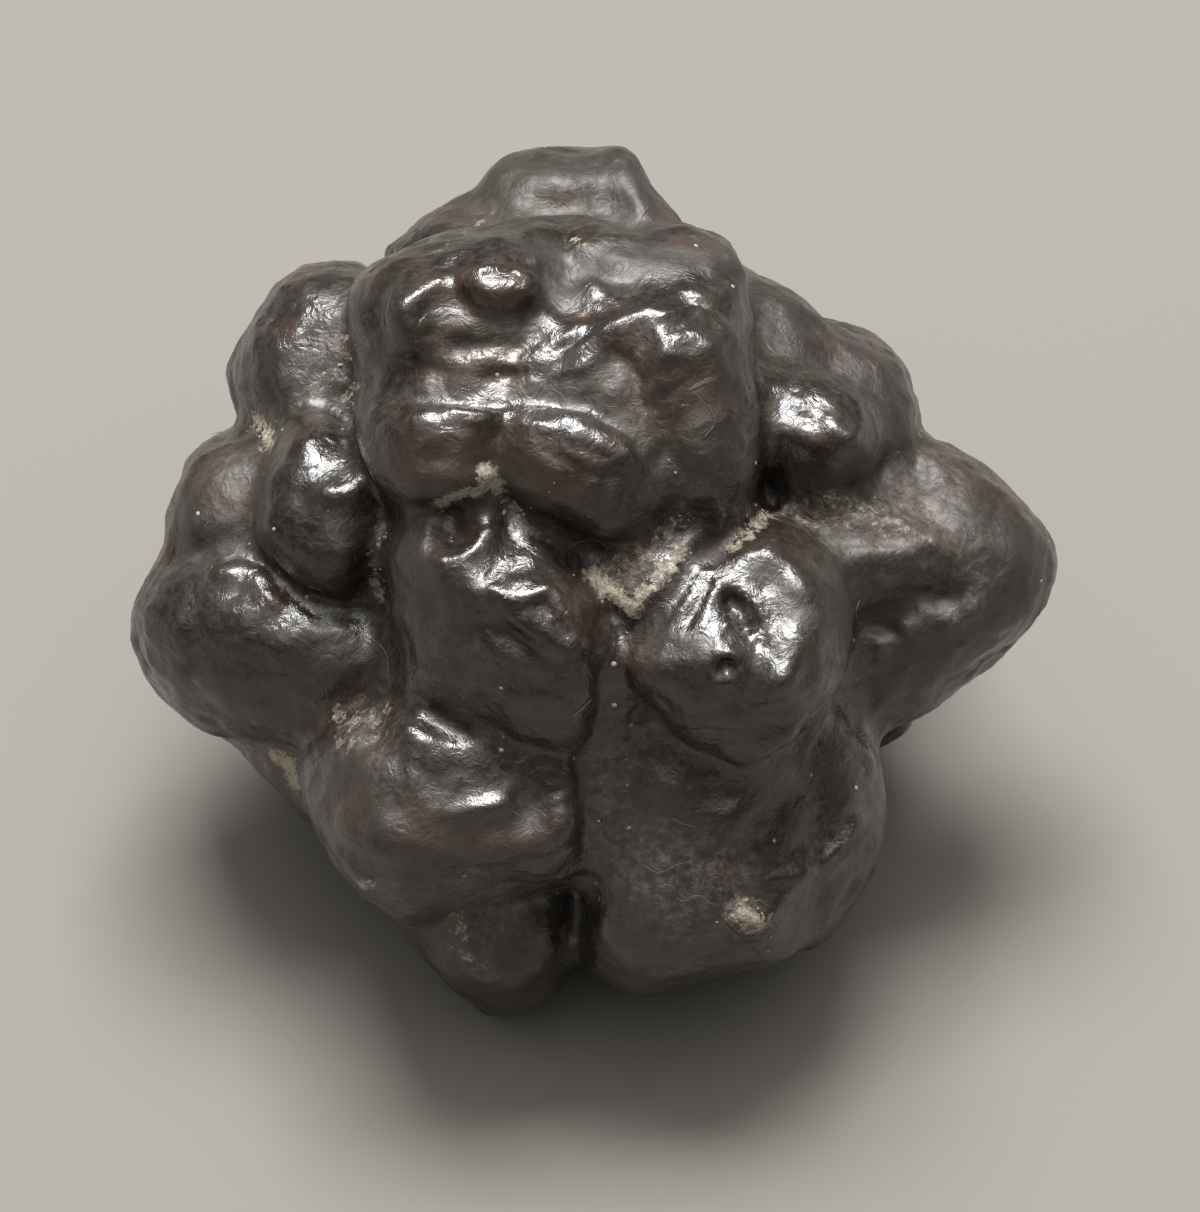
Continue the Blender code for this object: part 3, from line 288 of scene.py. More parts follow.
# Ridges raised and hollows pressed, worked last
LINES = (
    # the crown's upper left lobe and its round bump
    Line(0.16, 0.6, ((-9.4, 13.2), (-8.3, 13.9), (-7.0, 14.7))),
    Line(0.14, 0.5, ((-9.1, 12.8), (-8.4, 12.2), (-8.7, 11.2))),
    Line(0.2, 2.4, ((-5.0, 14.2), (-3.6, 14.0))),
    Line(-0.12, 0.6, ((-6.9, 14.8), (-6.6, 13.6), (-5.9, 12.9))),
    Line(0.08, 0.5, ((-8.0, 12.8), (-7.2, 12.1), (-6.0, 12.2))),
    Line(0.14, 0.4, ((-5.8, 14.9), (-4.6, 15.2), (-3.6, 14.9))),
    Line(0.12, 0.35, ((-5.6, 14.2), (-4.4, 14.4), (-3.2, 14.0))),
    Line(-0.1, 0.4, ((-5.2, 14.6), (-4.2, 14.8), (-3.2, 14.4))),
    Line(0.16, 0.8, ((-6.6, 9.6), (-5.6, 10.0), (-4.6, 10.6), (-3.6, 10.4))),
    Line(-0.2, 0.6, ((-6.6, 11.2), (-5.2, 11.3), (-3.8, 11.1))),
    Line(-0.24, 1.3, ((-3.2, 12.2), (-3.7, 11.4), (-3.7, 10.6))),
    # the bright brink of the crown's lower lobes, and the streaks below it
    Line(0.14, 0.5, (
        (-8.7, 7.8), (-7.6, 8.2), (-6.6, 8.1), (-5.4, 7.8), (-4.4, 7.9), (-3.0, 8.2), (-1.8, 8.0),
        (-0.4, 7.8), (0.6, 7.2), (1.6, 6.6))),
    Line(0.28, 1.3, ((-2.8, 10.0), (-0.8, 10.0), (1.2, 9.3))),
    Line(0.1, 0.4, ((-3.6, 7.6), (-2.4, 7.4), (-1.2, 7.0), (0.2, 6.4), (1.2, 5.9))),
    Line(-0.08, 0.35, ((-3.2, 7.9), (-1.6, 7.4), (0.0, 7.0))),
    Line(0.08, 0.35, ((-2.0, 6.6), (-0.8, 6.0), (0.4, 5.4), (1.8, 5.4))),
    Line(-0.1, 0.4, ((-2.4, 6.2), (-1.0, 5.4), (0.6, 4.8))),
    Line(0.1, 0.4, ((1.4, 6.0), (2.2, 5.6), (2.1, 4.6))),
    Line(0.08, 0.5, ((-8.6, 6.6), (-7.4, 7.0), (-6.0, 6.8))),
    Line(-0.12, 0.6, ((-7.6, 5.8), (-6.2, 5.4), (-5.0, 5.6))),
    # its right lobe
    Line(0.2, 0.7, ((0.8, 12.2), (2.2, 12.9), (3.4, 13.3), (4.6, 13.9), (5.7, 13.4))),
    Line(0.14, 0.4, ((3.4, 12.8), (4.6, 13.1), (5.9, 12.8))),
    Line(-0.12, 0.35, ((3.2, 13.1), (4.4, 13.5), (5.4, 13.2))),
    Line(-0.16, 0.5, ((3.6, 12.2), (4.8, 12.5), (5.9, 12.2))),
    Line(0.16, 0.5, ((3.2, 12.0), (3.5, 11.2), (3.0, 10.4), (2.5, 9.1))),
    Line(0.14, 0.4, ((3.6, 11.0), (4.6, 10.7), (5.7, 11.3))),
    Line(0.1, 0.3, ((4.2, 9.8), (5.4, 10.8))),
    Line(0.18, 0.6, ((-2.6, 10.9), (-1.6, 11.5), (-0.6, 12.2))),
    Line(0.12, 0.35, ((-2.2, 10.5), (-0.8, 11.1), (0.2, 11.8))),
    Line(-0.1, 0.35, ((-2.4, 10.7), (-1.2, 11.3), (-0.2, 12.0))),
    Line(0.08, 0.4, ((-1.8, 9.8), (-0.4, 10.4))),
    Line(-0.2, 0.6, ((1.0, 11.0), (1.8, 10.2), (2.2, 9.4))),
    Line(-0.16, 0.5, ((3.2, 8.8), (3.7, 9.0))),
    Line(0.1, 0.35, ((2.7, 8.4), (2.8, 9.4), (3.6, 9.7), (4.2, 9.0), (3.8, 8.2))),
    Line(0.12, 0.8, ((4.8, 7.4), (6.6, 7.8))),
    # the notch behind the crown
    Line(-0.3, 1.6, ((-1.7, 14.4), (-1.5, 13.4))),
    Line(0.35, 1.5, ((-2.6, 16.6), (-0.6, 16.8), (1.6, 16.4))),
    Line(-0.25, 1.4, ((-1.0, 14.8), (1.4, 14.6))),
    Line(0.4, 0.8, ((-0.9, 16.3), (-0.6, 16.0))),
    Line(0.32, 0.7, ((-0.2, 14.3), (0.1, 14.1))),
    # the middle knob on the left, with its spoon hollow and its bright arc
    Line(-0.26, 0.8, ((-6.9, 3.1), (-7.0, 2.4), (-6.8, 1.7))),
    Line(0.12, 0.45, ((-8.3, 1.5), (-7.9, 2.8), (-7.2, 3.6))),
    Line(0.18, 0.45, ((-7.3, 0.8), (-6.4, 0.9), (-5.7, 1.5), (-5.3, 2.2), (-4.9, 2.2))),
    Line(0.14, 0.35, ((-3.8, 2.7), (-3.3, 1.8))),
    Line(0.14, 0.5, ((-2.7, 1.4), (-2.2, 1.1))),
    Line(0.1, 0.3, ((-4.5, 0.2), (-4.0, 0.9))),
    Line(0.22, 0.45, ((-4.9, -0.6), (-3.9, -1.2), (-3.0, -0.9), (-2.1, -0.5), (-1.7, -0.9))),
    Line(0.16, 0.45, ((-3.2, -1.5), (-2.4, -2.3), (-1.7, -3.1))),
    Line(0.16, 0.4, ((-1.8, -1.2), (-1.2, -2.0), (-0.9, -2.9))),
    Line(-0.14, 0.35, ((-2.6, -1.3), (-1.8, -2.1), (-1.3, -2.9))),
    Line(0.22, 1.0, ((-5.2, -3.3), (-4.0, -4.0), (-3.0, -4.5))),
    Line(-0.2, 0.9, ((-5.6, -2.2), (-4.4, -2.6), (-3.2, -3.4))),
    # the middle knob on the right, with its ringed pits
    Line(-0.5, 0.8, ((6.7, -1.1), (7.1, -1.8), (7.4, -2.3))),
    Line(0.18, 0.36, (
        (6.2, -0.9), (6.3, -1.9), (6.9, -2.8), (7.7, -3.0), (8.4, -2.3), (8.0, -1.3), (7.2, -0.6),
        (6.5, -0.5), (6.2, -0.9))),
    Line(0.22, 0.3, ((6.9, -1.9), (7.3, -2.1), (7.8, -2.0))),
    Line(-0.6, 0.7, ((6.3, -4.4), (6.6, -4.4))),
    Line(0.24, 0.36, (
        (5.8, -4.5), (6.2, -3.8), (6.9, -3.9), (7.2, -4.5), (6.7, -5.1), (6.0, -5.0), (5.8, -4.5))),
    Line(0.4, 1.0, ((7.8, -5.7), (9.3, -4.9))),
    Line(0.16, 0.5, ((5.4, 0.2), (4.9, -0.7), (4.2, -1.8))),
    Line(0.14, 0.4, ((6.1, -0.2), (5.6, -1.4), (5.2, -2.4))),
    Line(-0.12, 0.35, ((5.6, -0.3), (5.1, -1.4), (4.6, -2.2))),
    Line(0.12, 0.6, ((8.4, 1.4), (9.6, 0.4), (10.4, -0.9))),
    # the web between them
    Line(0.15, 0.4, ((0.0, 0.2), (0.8, -0.6), (1.8, -1.8), (3.0, -0.4), (4.2, 1.0), (4.8, 2.0))),
    Line(0.14, 0.5, ((4.2, 2.6), (4.6, 3.8), (5.6, 4.2), (6.3, 3.4), (6.2, 2.6))),
    # the right side
    Line(0.16, 0.5, ((9.8, 8.6), (11.4, 7.6), (12.8, 6.6))),
    Line(0.14, 0.4, ((10.6, 6.6), (11.8, 6.4), (12.8, 7.2))),
    Line(0.12, 0.4, ((14.0, -0.2), (15.6, 0.6), (17.2, 0.2))),
    Line(-0.16, 0.5, ((13.6, -1.0), (15.2, -0.6), (16.8, -1.0))),
    Line(0.14, 0.5, ((15.0, -2.4), (16.4, -1.8), (17.8, -2.2))),
    Line(-0.14, 0.5, ((13.4, 2.4), (14.8, 1.8), (16.2, 2.2))),
    Line(0.25, 0.6, ((9.4, 3.6), (10.5, 2.6), (11.7, 2.5), (13.7, 2.8), (14.8, 2.6))),
    Line(0.3, 1.2, ((11.6, 3.8), (12.8, 3.3))),
    Line(-0.2, 0.6, ((10.6, 1.9), (12.4, 1.8), (14.4, 1.9))),
    Line(0.22, 0.6, ((14.8, 2.6), (16.5, 1.8), (17.8, 1.0), (17.8, 0.1))),
    Line(-0.18, 0.6, ((15.6, 3.2), (17.2, 2.6), (18.4, 1.8))),
    Line(0.25, 1.0, ((16.2, -1.4), (17.4, -1.9), (18.4, -1.6))),
    Line(0.2, 0.5, ((13.4, -2.8), (14.2, -3.2), (13.9, -3.8))),
    Line(-0.2, 0.5, ((13.8, -2.3), (14.8, -2.7))),
    Line(0.2, 0.7, ((16.3, 5.9), (17.0, 5.0))),
    Line(-0.2, 0.6, ((15.7, 5.4), (16.3, 4.4))),
    # the left side
    Line(0.18, 0.6, ((-13.0, 4.1), (-11.9, 4.3), (-11.2, 4.8))),
    Line(-0.14, 0.4, ((-16.2, 13.0), (-16.2, 10.2), (-15.4, 8.6))),
    Line(0.14, 0.7, ((-15.2, 11.2), (-14.6, 11.8))),
    Line(0.2, 0.7, ((-18.2, 0.3), (-17.0, 0.5), (-16.2, 0.1))),
    Line(0.14, 0.6, ((-16.0, -0.9), (-14.6, -1.6), (-13.4, -2.8), (-11.6, -2.4))),
    Line(-0.16, 0.6, ((-17.4, -0.6), (-16.4, -1.1))),
    # the lower knobs
    Line(0.16, 1.1, ((-9.1, -7.4), (-8.2, -8.4), (-6.8, -9.6))),
    Line(0.12, 0.8, ((-10.4, -8.4), (-9.8, -10.8))),
    Line(0.3, 1.5, ((-2.0, -9.9), (-1.5, -12.0))),
    Line(0.09, 0.3, ((-2.3, -10.2), (-1.6, -9.9), (-1.0, -10.2))),
    Line(0.1, 0.3, ((-2.2, -11.0), (-1.3, -10.6))),
    Line(0.08, 0.3, ((-1.9, -11.7), (-1.1, -11.3), (-0.8, -10.7))),
    Line(0.14, 0.5, ((-5.8, -11.2), (-4.4, -11.0))),
    Line(0.12, 0.5, ((8.8, -14.6), (10.6, -14.4))),
    Line(0.14, 0.4, ((11.2, -13.8), (12.4, -12.6), (13.0, -11.8))),
    Line(0.2, 0.9, ((7.0, -16.6), (8.2, -17.0))),
)

# Larger specks of dust: how far right and up the camera sees them, and their radius, in millimetres
SPECKS = (
    (1.0, -4.2, 0.16), (1.0, -6.2, 0.14), (-4.5, -5.4, 0.1), (-4.5, -8.4, 0.12), (-11.2, -14.9, 0.34),
    (-10.9, -14.8, 0.24), (-6.6, -17.0, 0.16), (5.0, 16.2, 0.11), (-4.3, -1.0, 0.06), (6.8, 14.2, 0.13),
    (21.8, -0.1, 0.12), (-14.0, -0.9, 0.12), (-19.3, 3.2, 0.13), (7.9, 5.6, 0.1), (4.0, 5.1, 0.08),
    (-7.5, 3.6, 0.2), (-7.2, 3.9, 0.14), (-3.4, 3.1, 0.1), (-6.3, -14.5, 0.14), (-6.2, -18.5, 0.14),
    (-15.6, 2.4, 0.1), (10.6, -9.6, 0.1), (12.8, -10.2, 0.12), (8.8, -12.8, 0.09),
)

# Fibres of lint lying on the skin, as routes
LINT = (
    ((-10.7, -3.0), (-10.1, -3.6), (-9.9, -4.5)),
    ((-9.5, -3.2), (-9.9, -3.9)),
    ((2.1, 17.1), (2.6, 18.1)),
    ((-0.8, 15.5), (-1.2, 14.9), (-1.0, 14.4), (-0.7, 14.2)),
    ((11.4, -4.6), (12.0, -5.2), (12.3, -5.8)),
    ((8.8, -9.1), (9.4, -8.2), (10.3, -7.3)),
    ((6.7, -17.3), (7.3, -16.6), (8.2, -16.9), (8.7, -16.3)),
    ((6.6, -17.4), (7.4, -17.9), (8.1, -18.4)),
    ((7.0, -15.9), (7.9, -16.2), (8.4, -17.3)),
    ((4.7, -14.1), (5.2, -14.4), (5.4, -15.0)),
    ((2.5, -13.9), (3.2, -14.3), (4.1, -13.9), (4.7, -13.8)),
    ((3.2, -15.0), (3.7, -14.9), (4.3, -15.7), (5.1, -15.4), (5.8, -15.9)),
    ((6.5, -16.9), (7.2, -17.5), (7.5, -18.2)),
    ((7.4, -15.8), (8.0, -15.7), (8.6, -16.1)),
    ((8.7, -16.4), (8.4, -17.2), (7.8, -17.8)),
    ((7.3, -16.2), (7.8, -16.7), (8.6, -16.8)),
    ((0.3, -10.8), (0.6, -12.2)),
    ((-4.1, -11.3), (-3.3, -11.8)),
    ((-1.3, 1.5), (-0.4, 1.9), (0.5, 1.8), (0.7, 0.9)),
    ((3.4, -4.9), (3.1, -5.7), (3.9, -6.6)),
    ((-1.0, -6.7), (-0.2, -5.9)),
    ((-13.9, -0.3), (-13.3, -0.5), (-13.0, -0.9)),
    ((12.9, -1.0), (12.7, -1.6), (13.2, -2.2)),
    ((-11.6, -6.1), (-11.4, -7.0)),
    ((9.8, 3.3), (10.6, 2.7), (11.6, 2.6)),
    ((5.6, 8.4), (5.9, 7.6), (5.4, 6.9)),
    ((-5.7, -14.0), (-5.0, -14.4), (-4.9, -15.1)),
)

# The seed of all that lies loose on the skin
SEED = 7

# Crumbs of crust: how many lie on the thick crust and how many in hollows elsewhere, and in millimetres
# their radius, the least depth of such a hollow and the least height above the floor
CRUST_CRUMBS = 110
HOLLOW_CRUMBS = 150
CRUMB_SIZES = (0.05, 0.14)
CRUMB_HOLLOW = 0.12
LOWEST_CRUMB = 0.5

# Fine specks of dust: how many, and in millimetres their radius and least height above the floor
LOOSE_SPECKS = 100
SPECK_SIZES = (0.02, 0.05)
LOWEST_SPECK = 1.0

# The shape of a crumb or speck of radius 1: its width, its thickness, how uneven it is, and how far
# it leans
FLAKE_WIDTHS = (0.6, 0.9)
FLAKE_THICKNESSES = (0.35, 0.5)
CRUMB_UNEVENNESS = 0.25
SPECK_UNEVENNESS = 0.15
FLAKE_LEAN = 0.3

# Fibres of lint, in millimetres: radius, height over the skin and how much that varies
FIBRE_RADIUS = 0.015
FIBRE_HEIGHT = 0.05
FIBRE_WAVE = 0.12

# Fibres laid at random: how many, and in millimetres where their points lie along them, how much their
# height varies and how low above the floor they start
RANDOM_FIBRES = 14
RANDOM_STEPS = (0.0, 0.6, 1.2)
RANDOM_WAVE = 0.15
LOWEST_FIBRE = 3.0


def view_axes():
    """The camera's right, up and towards."""
    right = Vector((1.0, 0.0, 0.0))
    up = Vector((0.0, math.sin(VIEW_ELEVATION), math.cos(VIEW_ELEVATION)))
    towards = Vector((0.0, -math.cos(VIEW_ELEVATION), math.sin(VIEW_ELEVATION)))
    return right, up, towards


def eye():
    """Where the lines are seen from."""
    return STONE_MIDDLE + view_axes()[2] * VIEW_DISTANCE


def aim(seen):
    """The direction in which the eye sees a point that lies that many millimetres right and up."""
    right, up, towards = view_axes()
    return right * (seen[0] * MM) + up * (seen[1] * MM) - towards * VIEW_DISTANCE


def pick(*pieces):
    """Leaves only these pieces selected, the first of them active."""
    bpy.ops.object.select_all(action="DESELECT")
    for piece in pieces:
        piece.select_set(True)
    bpy.context.view_layer.objects.active = pieces[0]


def apply_modifier(piece, kind, **settings):
    """Adds a modifier, sets it and applies it."""
    pick(piece)
    bpy.ops.object.modifier_add(type=kind)
    modifier = piece.modifiers[-1]
    for name, value in settings.items():
        setattr(modifier, name, value)
    bpy.ops.object.modifier_apply(modifier=modifier.name)


def copy_of_stone(node):
    """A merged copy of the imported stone."""
    pick(node)
    bpy.ops.object.duplicate()
    skin = bpy.context.active_object
    skin.name = "stone_skin"
    skin.parent = None
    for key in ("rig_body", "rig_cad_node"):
        if key in skin:
            del skin[key]
    bpy.ops.object.mode_set(mode="EDIT")
    bpy.ops.mesh.select_all(action="SELECT")
    bpy.ops.mesh.remove_doubles(threshold=MERGE_DISTANCE)
    bpy.ops.object.mode_set(mode="OBJECT")
    return skin


def points_of(piece):
    """Where the piece's vertices lie, one row each."""
    points = np.empty(len(piece.data.vertices) * 3)
    piece.data.vertices.foreach_get("co", points)
    return points.reshape(-1, 3)


def normals_of(piece):
    """The outward directions at the piece's vertices."""
    normals = np.empty(len(piece.data.vertices) * 3, np.float32)
    piece.data.vertices.foreach_get("normal", normals)
    return normals.reshape(-1, 3).astype(float)


def put_points(piece, points):
    """Moves the piece's vertices there."""
    piece.data.vertices.foreach_set("co", points.ravel())
    piece.data.update()


def skin_tree(piece):
    """The piece's faces, sorted so that a point of them is found fast."""
    return BVHTree.FromPolygons(
        [vertex.co for vertex in piece.data.vertices], [face.vertices for face in piece.data.polygons])


def on_skin(tree, seen):
    """The point and normal of the skin that the camera sees there."""
    return tree.ray_cast(eye(), aim(seen))[:2]


def along(route):
    """Points a short step apart along the route."""
    line = []
    for start, end in zip(route, route[1:]):
        start, end = Vector(start), Vector(end)
        steps = max(1, round((end - start).length / LINE_STEP))
        line += [start.lerp(end, step / steps) for step in range(steps)]
    return line + [Vector(route[-1])]


def work_lines(skin, lines):
    """Raises ridges and presses hollows along the lines."""
    points = points_of(skin)
    tree = skin_tree(skin)
    moved = points.copy()
    for line in lines:
        nearest = np.full(len(points), np.inf)
        outward = np.zeros_like(points)
        for seen in along(line.route):
            place, normal = on_skin(tree, seen)
            if place is None:
                continue
            distance = np.linalg.norm(points - np.array(place), axis=1) / (line.width * MM)
            closer = distance < nearest
            nearest[closer] = distance[closer]
            outward[closer] = normal
        weight = np.clip(1.0 - nearest ** 2, 0.0, 1.0) ** 2
        moved += outward * (weight * line.lift * MM)[:, None]
    put_points(skin, moved)


def keep_in_box(piece):
    """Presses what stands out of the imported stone's box back to its sides."""
    low, high = (np.array(corner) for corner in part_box("stone"))
    put_points(piece, np.clip(points_of(piece), low, high))


def lump(skin, kind, size, height):
    """Makes the skin uneven by a pattern of that size and height in millimetres."""
    pattern = bpy.data.textures.new(f"{kind.lower()}_{size}", kind)
    pattern.noise_scale = size * MM
    if kind == "CLOUDS":
        pattern.noise_basis = "IMPROVED_PERLIN"
        pattern.noise_depth = 1
    apply_modifier(skin, "DISPLACE", texture=pattern, strength=height * MM, mid_level=0.5)


def neighbours(skin):
    """The two ends of every edge of the skin."""
    ends = np.empty(len(skin.data.edges) * 2, np.int64)
    skin.data.edges.foreach_get("vertices", ends)
    return ends.reshape(-1, 2)


def spread(values, ends, rounds):
    """The values evened out with those of their neighbours."""
    count = len(values)
    one, other = ends.T
    degree = np.bincount(ends.ravel(), minlength=count).astype(float)
    for _ in range(rounds):
        around = [
            np.bincount(one, column[other], count) + np.bincount(other, column[one], count)
            for column in values.T]
        values = np.stack(around, axis=1) / degree[:, None]
    return values


def hollows(skin):
    """How deep each point of the skin lies under its surroundings, in millimetres."""
    points = points_of(skin)
    even = spread(points, neighbours(skin), HOLLOW_ROUNDS)
    return ((even - points) * normals_of(skin)).sum(axis=1) / MM


def spots_on(skin, spots):
    """How much each point of the skin belongs to the spots that the camera sees."""
    points = points_of(skin)
    tree = skin_tree(skin)
    share = np.zeros(len(points))
    for spot in spots:
        for seen in along(spot.route):
            place = on_skin(tree, seen)[0]
            if place is None:
                continue
            distance = np.linalg.norm(points - np.array(place), axis=1) / (spot.width * MM)
            share = np.maximum(share, spot.lift * np.clip(1.0 - distance ** 2, 0.0, 1.0))
    return share


def mark(skin, name, values):
    """Keeps a value for each point of the skin, for its material to read."""
    attribute = skin.data.attributes.new(name, "FLOAT", "POINT")
    attribute.data.foreach_set("value", values.astype(np.float32))


def ease_folds(skin):
    """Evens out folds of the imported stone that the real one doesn't have."""
    points = points_of(skin)
    even = spread(points, neighbours(skin), EASE_ROUNDS)
    put_points(skin, points + (even - points) * spots_on(skin, EASED)[:, None])


def make_skin(node):
    """The stone's skin, finely worked and marked for its material."""
    skin = copy_of_stone(node)
    apply_modifier(skin, "REMESH", mode="VOXEL", voxel_size=FINE_VOXEL)
    apply_modifier(skin, "SMOOTH", factor=SMOOTH_SHARE, iterations=SMOOTH_ROUNDS)
    work_lines(skin, FILLS)
    ease_folds(skin)
    for kind, size, height in LUMPS:
        lump(skin, kind, size, height)
    work_lines(skin, LINES)
    mark(skin, "hollow", hollows(skin))
    for name, spots in (
            ("crust", CRUST), ("brown", BROWN), ("dull", DULL), ("polish", POLISH), ("dust", DUST)):
        mark(skin, name, spots_on(skin, spots))
    keep_in_box(skin)
    pick(skin)
    bpy.ops.object.shade_smooth()
    return skin


class Shading:
    """A material's nodes, added one after the other."""

    def __init__(self, name):
        self.material = bpy.data.materials.new(name)
        self.material.use_nodes = True
        self.nodes, self.links = self.material.node_tree.nodes, self.material.node_tree.links
        self.shader = self.nodes["Principled BSDF"]
        self.place = self.nodes.new("ShaderNodeTexCoord").outputs["Object"]

    def put(self, socket, value):
        """Links another node's output to the socket, or sets it to a number or colour."""
        if isinstance(value, bpy.types.NodeSocket):
            self.links.new(value, socket)
        elif value is not None:
            socket.default_value = value

    def noise(self, size, detail=2.0, roughness=0.5, distortion=0.0):
        """A cloudy pattern of that size in millimetres, from 0 to 1."""
        node = self.nodes.new("ShaderNodeTexNoise")
        self.links.new(self.place, node.inputs["Vector"])
        node.inputs["Scale"].default_value = 1.0 / (size * MM)
        node.inputs["Detail"].default_value = detail
        node.inputs["Roughness"].default_value = roughness
        node.inputs["Distortion"].default_value = distortion
        return node.outputs["Fac"]

    def marked(self, name):
        """The value kept under that name for each point of the skin."""
        node = self.nodes.new("ShaderNodeAttribute")
        node.attribute_name = name
        return node.outputs["Fac"]

    def between(self, value, low, high, to_low=0.0, to_high=1.0):
        """The value's range from low to high, stretched smoothly to another."""
        node = self.nodes.new("ShaderNodeMapRange")
        node.interpolation_type = "SMOOTHSTEP"
        for name, number in (
                ("From Min", low), ("From Max", high), ("To Min", to_low), ("To Max", to_high)):
            node.inputs[name].default_value = number
        self.links.new(value, node.inputs["Value"])
        return node.outputs["Result"]

    def maths(self, operation, first, second):
        """A number worked out from two others."""
        node = self.nodes.new("ShaderNodeMath")
        node.operation = operation
        self.put(node.inputs[0], first)
        self.put(node.inputs[1], second)
        return node.outputs["Value"]

    def mix(self, share, first, second):
        """A colour between two others."""
        node = self.nodes.new("ShaderNodeMix")
        node.data_type = "RGBA"
        self.put(node.inputs["Factor"], share)
        self.put(node.inputs["A"], first)
        self.put(node.inputs["B"], second)
        return node.outputs["Result"]

    def relief(self, height, depth, strength=1.0, before=None):
        """A bump of that depth in millimetres, over the bump before it."""
        node = self.nodes.new("ShaderNodeBump")
        node.inputs["Distance"].default_value = depth * MM
        node.inputs["Strength"].default_value = strength
        self.links.new(height, node.inputs["Height"])
        self.put(node.inputs["Normal"], before)
        return node.outputs["Normal"]


def iron_oxide():
    """Dark glossy iron oxide with brown patches, dust, tan crust in its crevices and fine wrinkles."""
    s = Shading("iron_oxide_skin")
    # the brown-black ground, its brown stain and its fine grain
    colour = s.mix(s.between(s.noise(4.0, 3.0), 0.4, 0.65), DARK_OXIDE, GREY_OXIDE)
    rusty = s.maths("ADD", s.between(s.noise(3.0, 4.0, 0.6), 0.52, 0.7), s.marked("brown"))
    colour = s.mix(s.maths("MULTIPLY", rusty, 0.7), colour, BROWN_OXIDE)
    fine = s.noise(0.35, 3.0, 0.6)
    colour = s.mix(s.between(fine, 0.35, 0.75, 0.0, 0.75), colour, DUSTY_OXIDE)
    colour = s.mix(s.maths("MULTIPLY", s.marked("dull"), 0.35), colour, DUSTY_OXIDE)
    # the film of dust, in its marked places and in a few patches elsewhere
    patches = s.between(s.noise(2.1, 3.0, 0.6), 0.5, 0.7, 0.0, 0.3)
    film = s.maths("MAXIMUM", s.marked("dust"), patches)
    film = s.maths("MULTIPLY", film, s.between(s.noise(0.5, 6.0, 0.8), 0.42, 0.68))
    colour = s.mix(s.maths("MULTIPLY", film, 0.7), colour, DUST_GREY)
    # the crust, ragged at its edges, paler where it is thick, and faint in hollows elsewhere
    low = s.between(s.marked("hollow"), 0.02, 0.16)
    dusty = s.maths("MULTIPLY", low, s.between(s.noise(0.8, 4.0, 0.7), 0.45, 0.62))
    ragged = s.between(s.noise(0.55, 5.0, 0.75), 0.3, 0.7, -0.5, 0.35)
    ragged = s.maths("ADD", s.marked("crust"), ragged)
    crusted = s.maths("MAXIMUM", s.maths("MULTIPLY", dusty, 0.14), s.between(ragged, 0.45, 0.62))
    thick = s.between(s.marked("crust"), 0.5, 1.0, -0.12, 0.1)
    pale = s.between(s.maths("ADD", s.noise(0.28, 4.0, 0.7), thick), 0.35, 0.65)
    colour = s.mix(crusted, colour, s.mix(pale, TAN_CRUST, PALE_CRUST))
    s.links.new(colour, s.shader.inputs["Base Color"])
    # the gloss, worn away in dull patches and under the crust
    dull = s.maths("MAXIMUM", s.marked("dull"), s.between(s.noise(2.6, 4.0, 0.6), 0.5, 0.7))
    worn = s.between(s.marked("polish"), 0.0, 0.7, 0.36, 0.0)
    rough = s.between(s.noise(1.1, 4.0, 0.6), 0.3, 0.7, 0.17, 0.28)
    rough = s.maths("ADD", rough, s.maths("MULTIPLY", dull, worn))
    rough = s.maths("ADD", rough, s.maths("MULTIPLY", crusted, 0.45))
    s.links.new(rough, s.shader.inputs["Roughness"])
    s.shader.inputs["IOR"].default_value = OXIDE_IOR
    # the wrinkles, coarse and fine
    wrinkles = s.relief(s.noise(0.8, 4.0, 0.62, 1.2), 0.1, 0.9)
    wrinkles = s.relief(s.noise(0.22, 3.0, 0.6), 0.02, 0.8, wrinkles)
    s.links.new(wrinkles, s.shader.inputs["Normal"])
    return s.material


def crust_stuff():
    """Crumbly tan crust for the loose crumbs."""
    s = Shading("tan_crust")
    s.links.new(s.mix(s.noise(0.4, 3.0), TAN_CRUST, PALE_CRUST), s.shader.inputs["Base Color"])
    s.shader.inputs["Roughness"].default_value = CRUST_ROUGHNESS
    s.links.new(s.relief(s.noise(0.08, 2.0), 0.02), s.shader.inputs["Normal"])
    return s.material


def dust_stuff():
    """Pale dust."""
    s = Shading("pale_dust")
    s.links.new(s.mix(s.noise(0.7, 2.0), DUST_GREY, DUST_WHITE), s.shader.inputs["Base Color"])
    s.shader.inputs["Roughness"].default_value = DUST_ROUGHNESS
    s.links.new(s.relief(s.noise(0.05, 2.0), 0.01), s.shader.inputs["Normal"])
    return s.material


def lint_stuff():
    """Greyish fibres that have gathered dust."""
    s = Shading("grey_lint")
    s.links.new(s.mix(s.noise(0.5, 2.0), LINT_DARK, DUST_GREY), s.shader.inputs["Base Color"])
    s.shader.inputs["Roughness"].default_value = LINT_ROUGHNESS
    s.links.new(s.relief(s.noise(0.04, 2.0), 0.008), s.shader.inputs["Normal"])
    return s.material


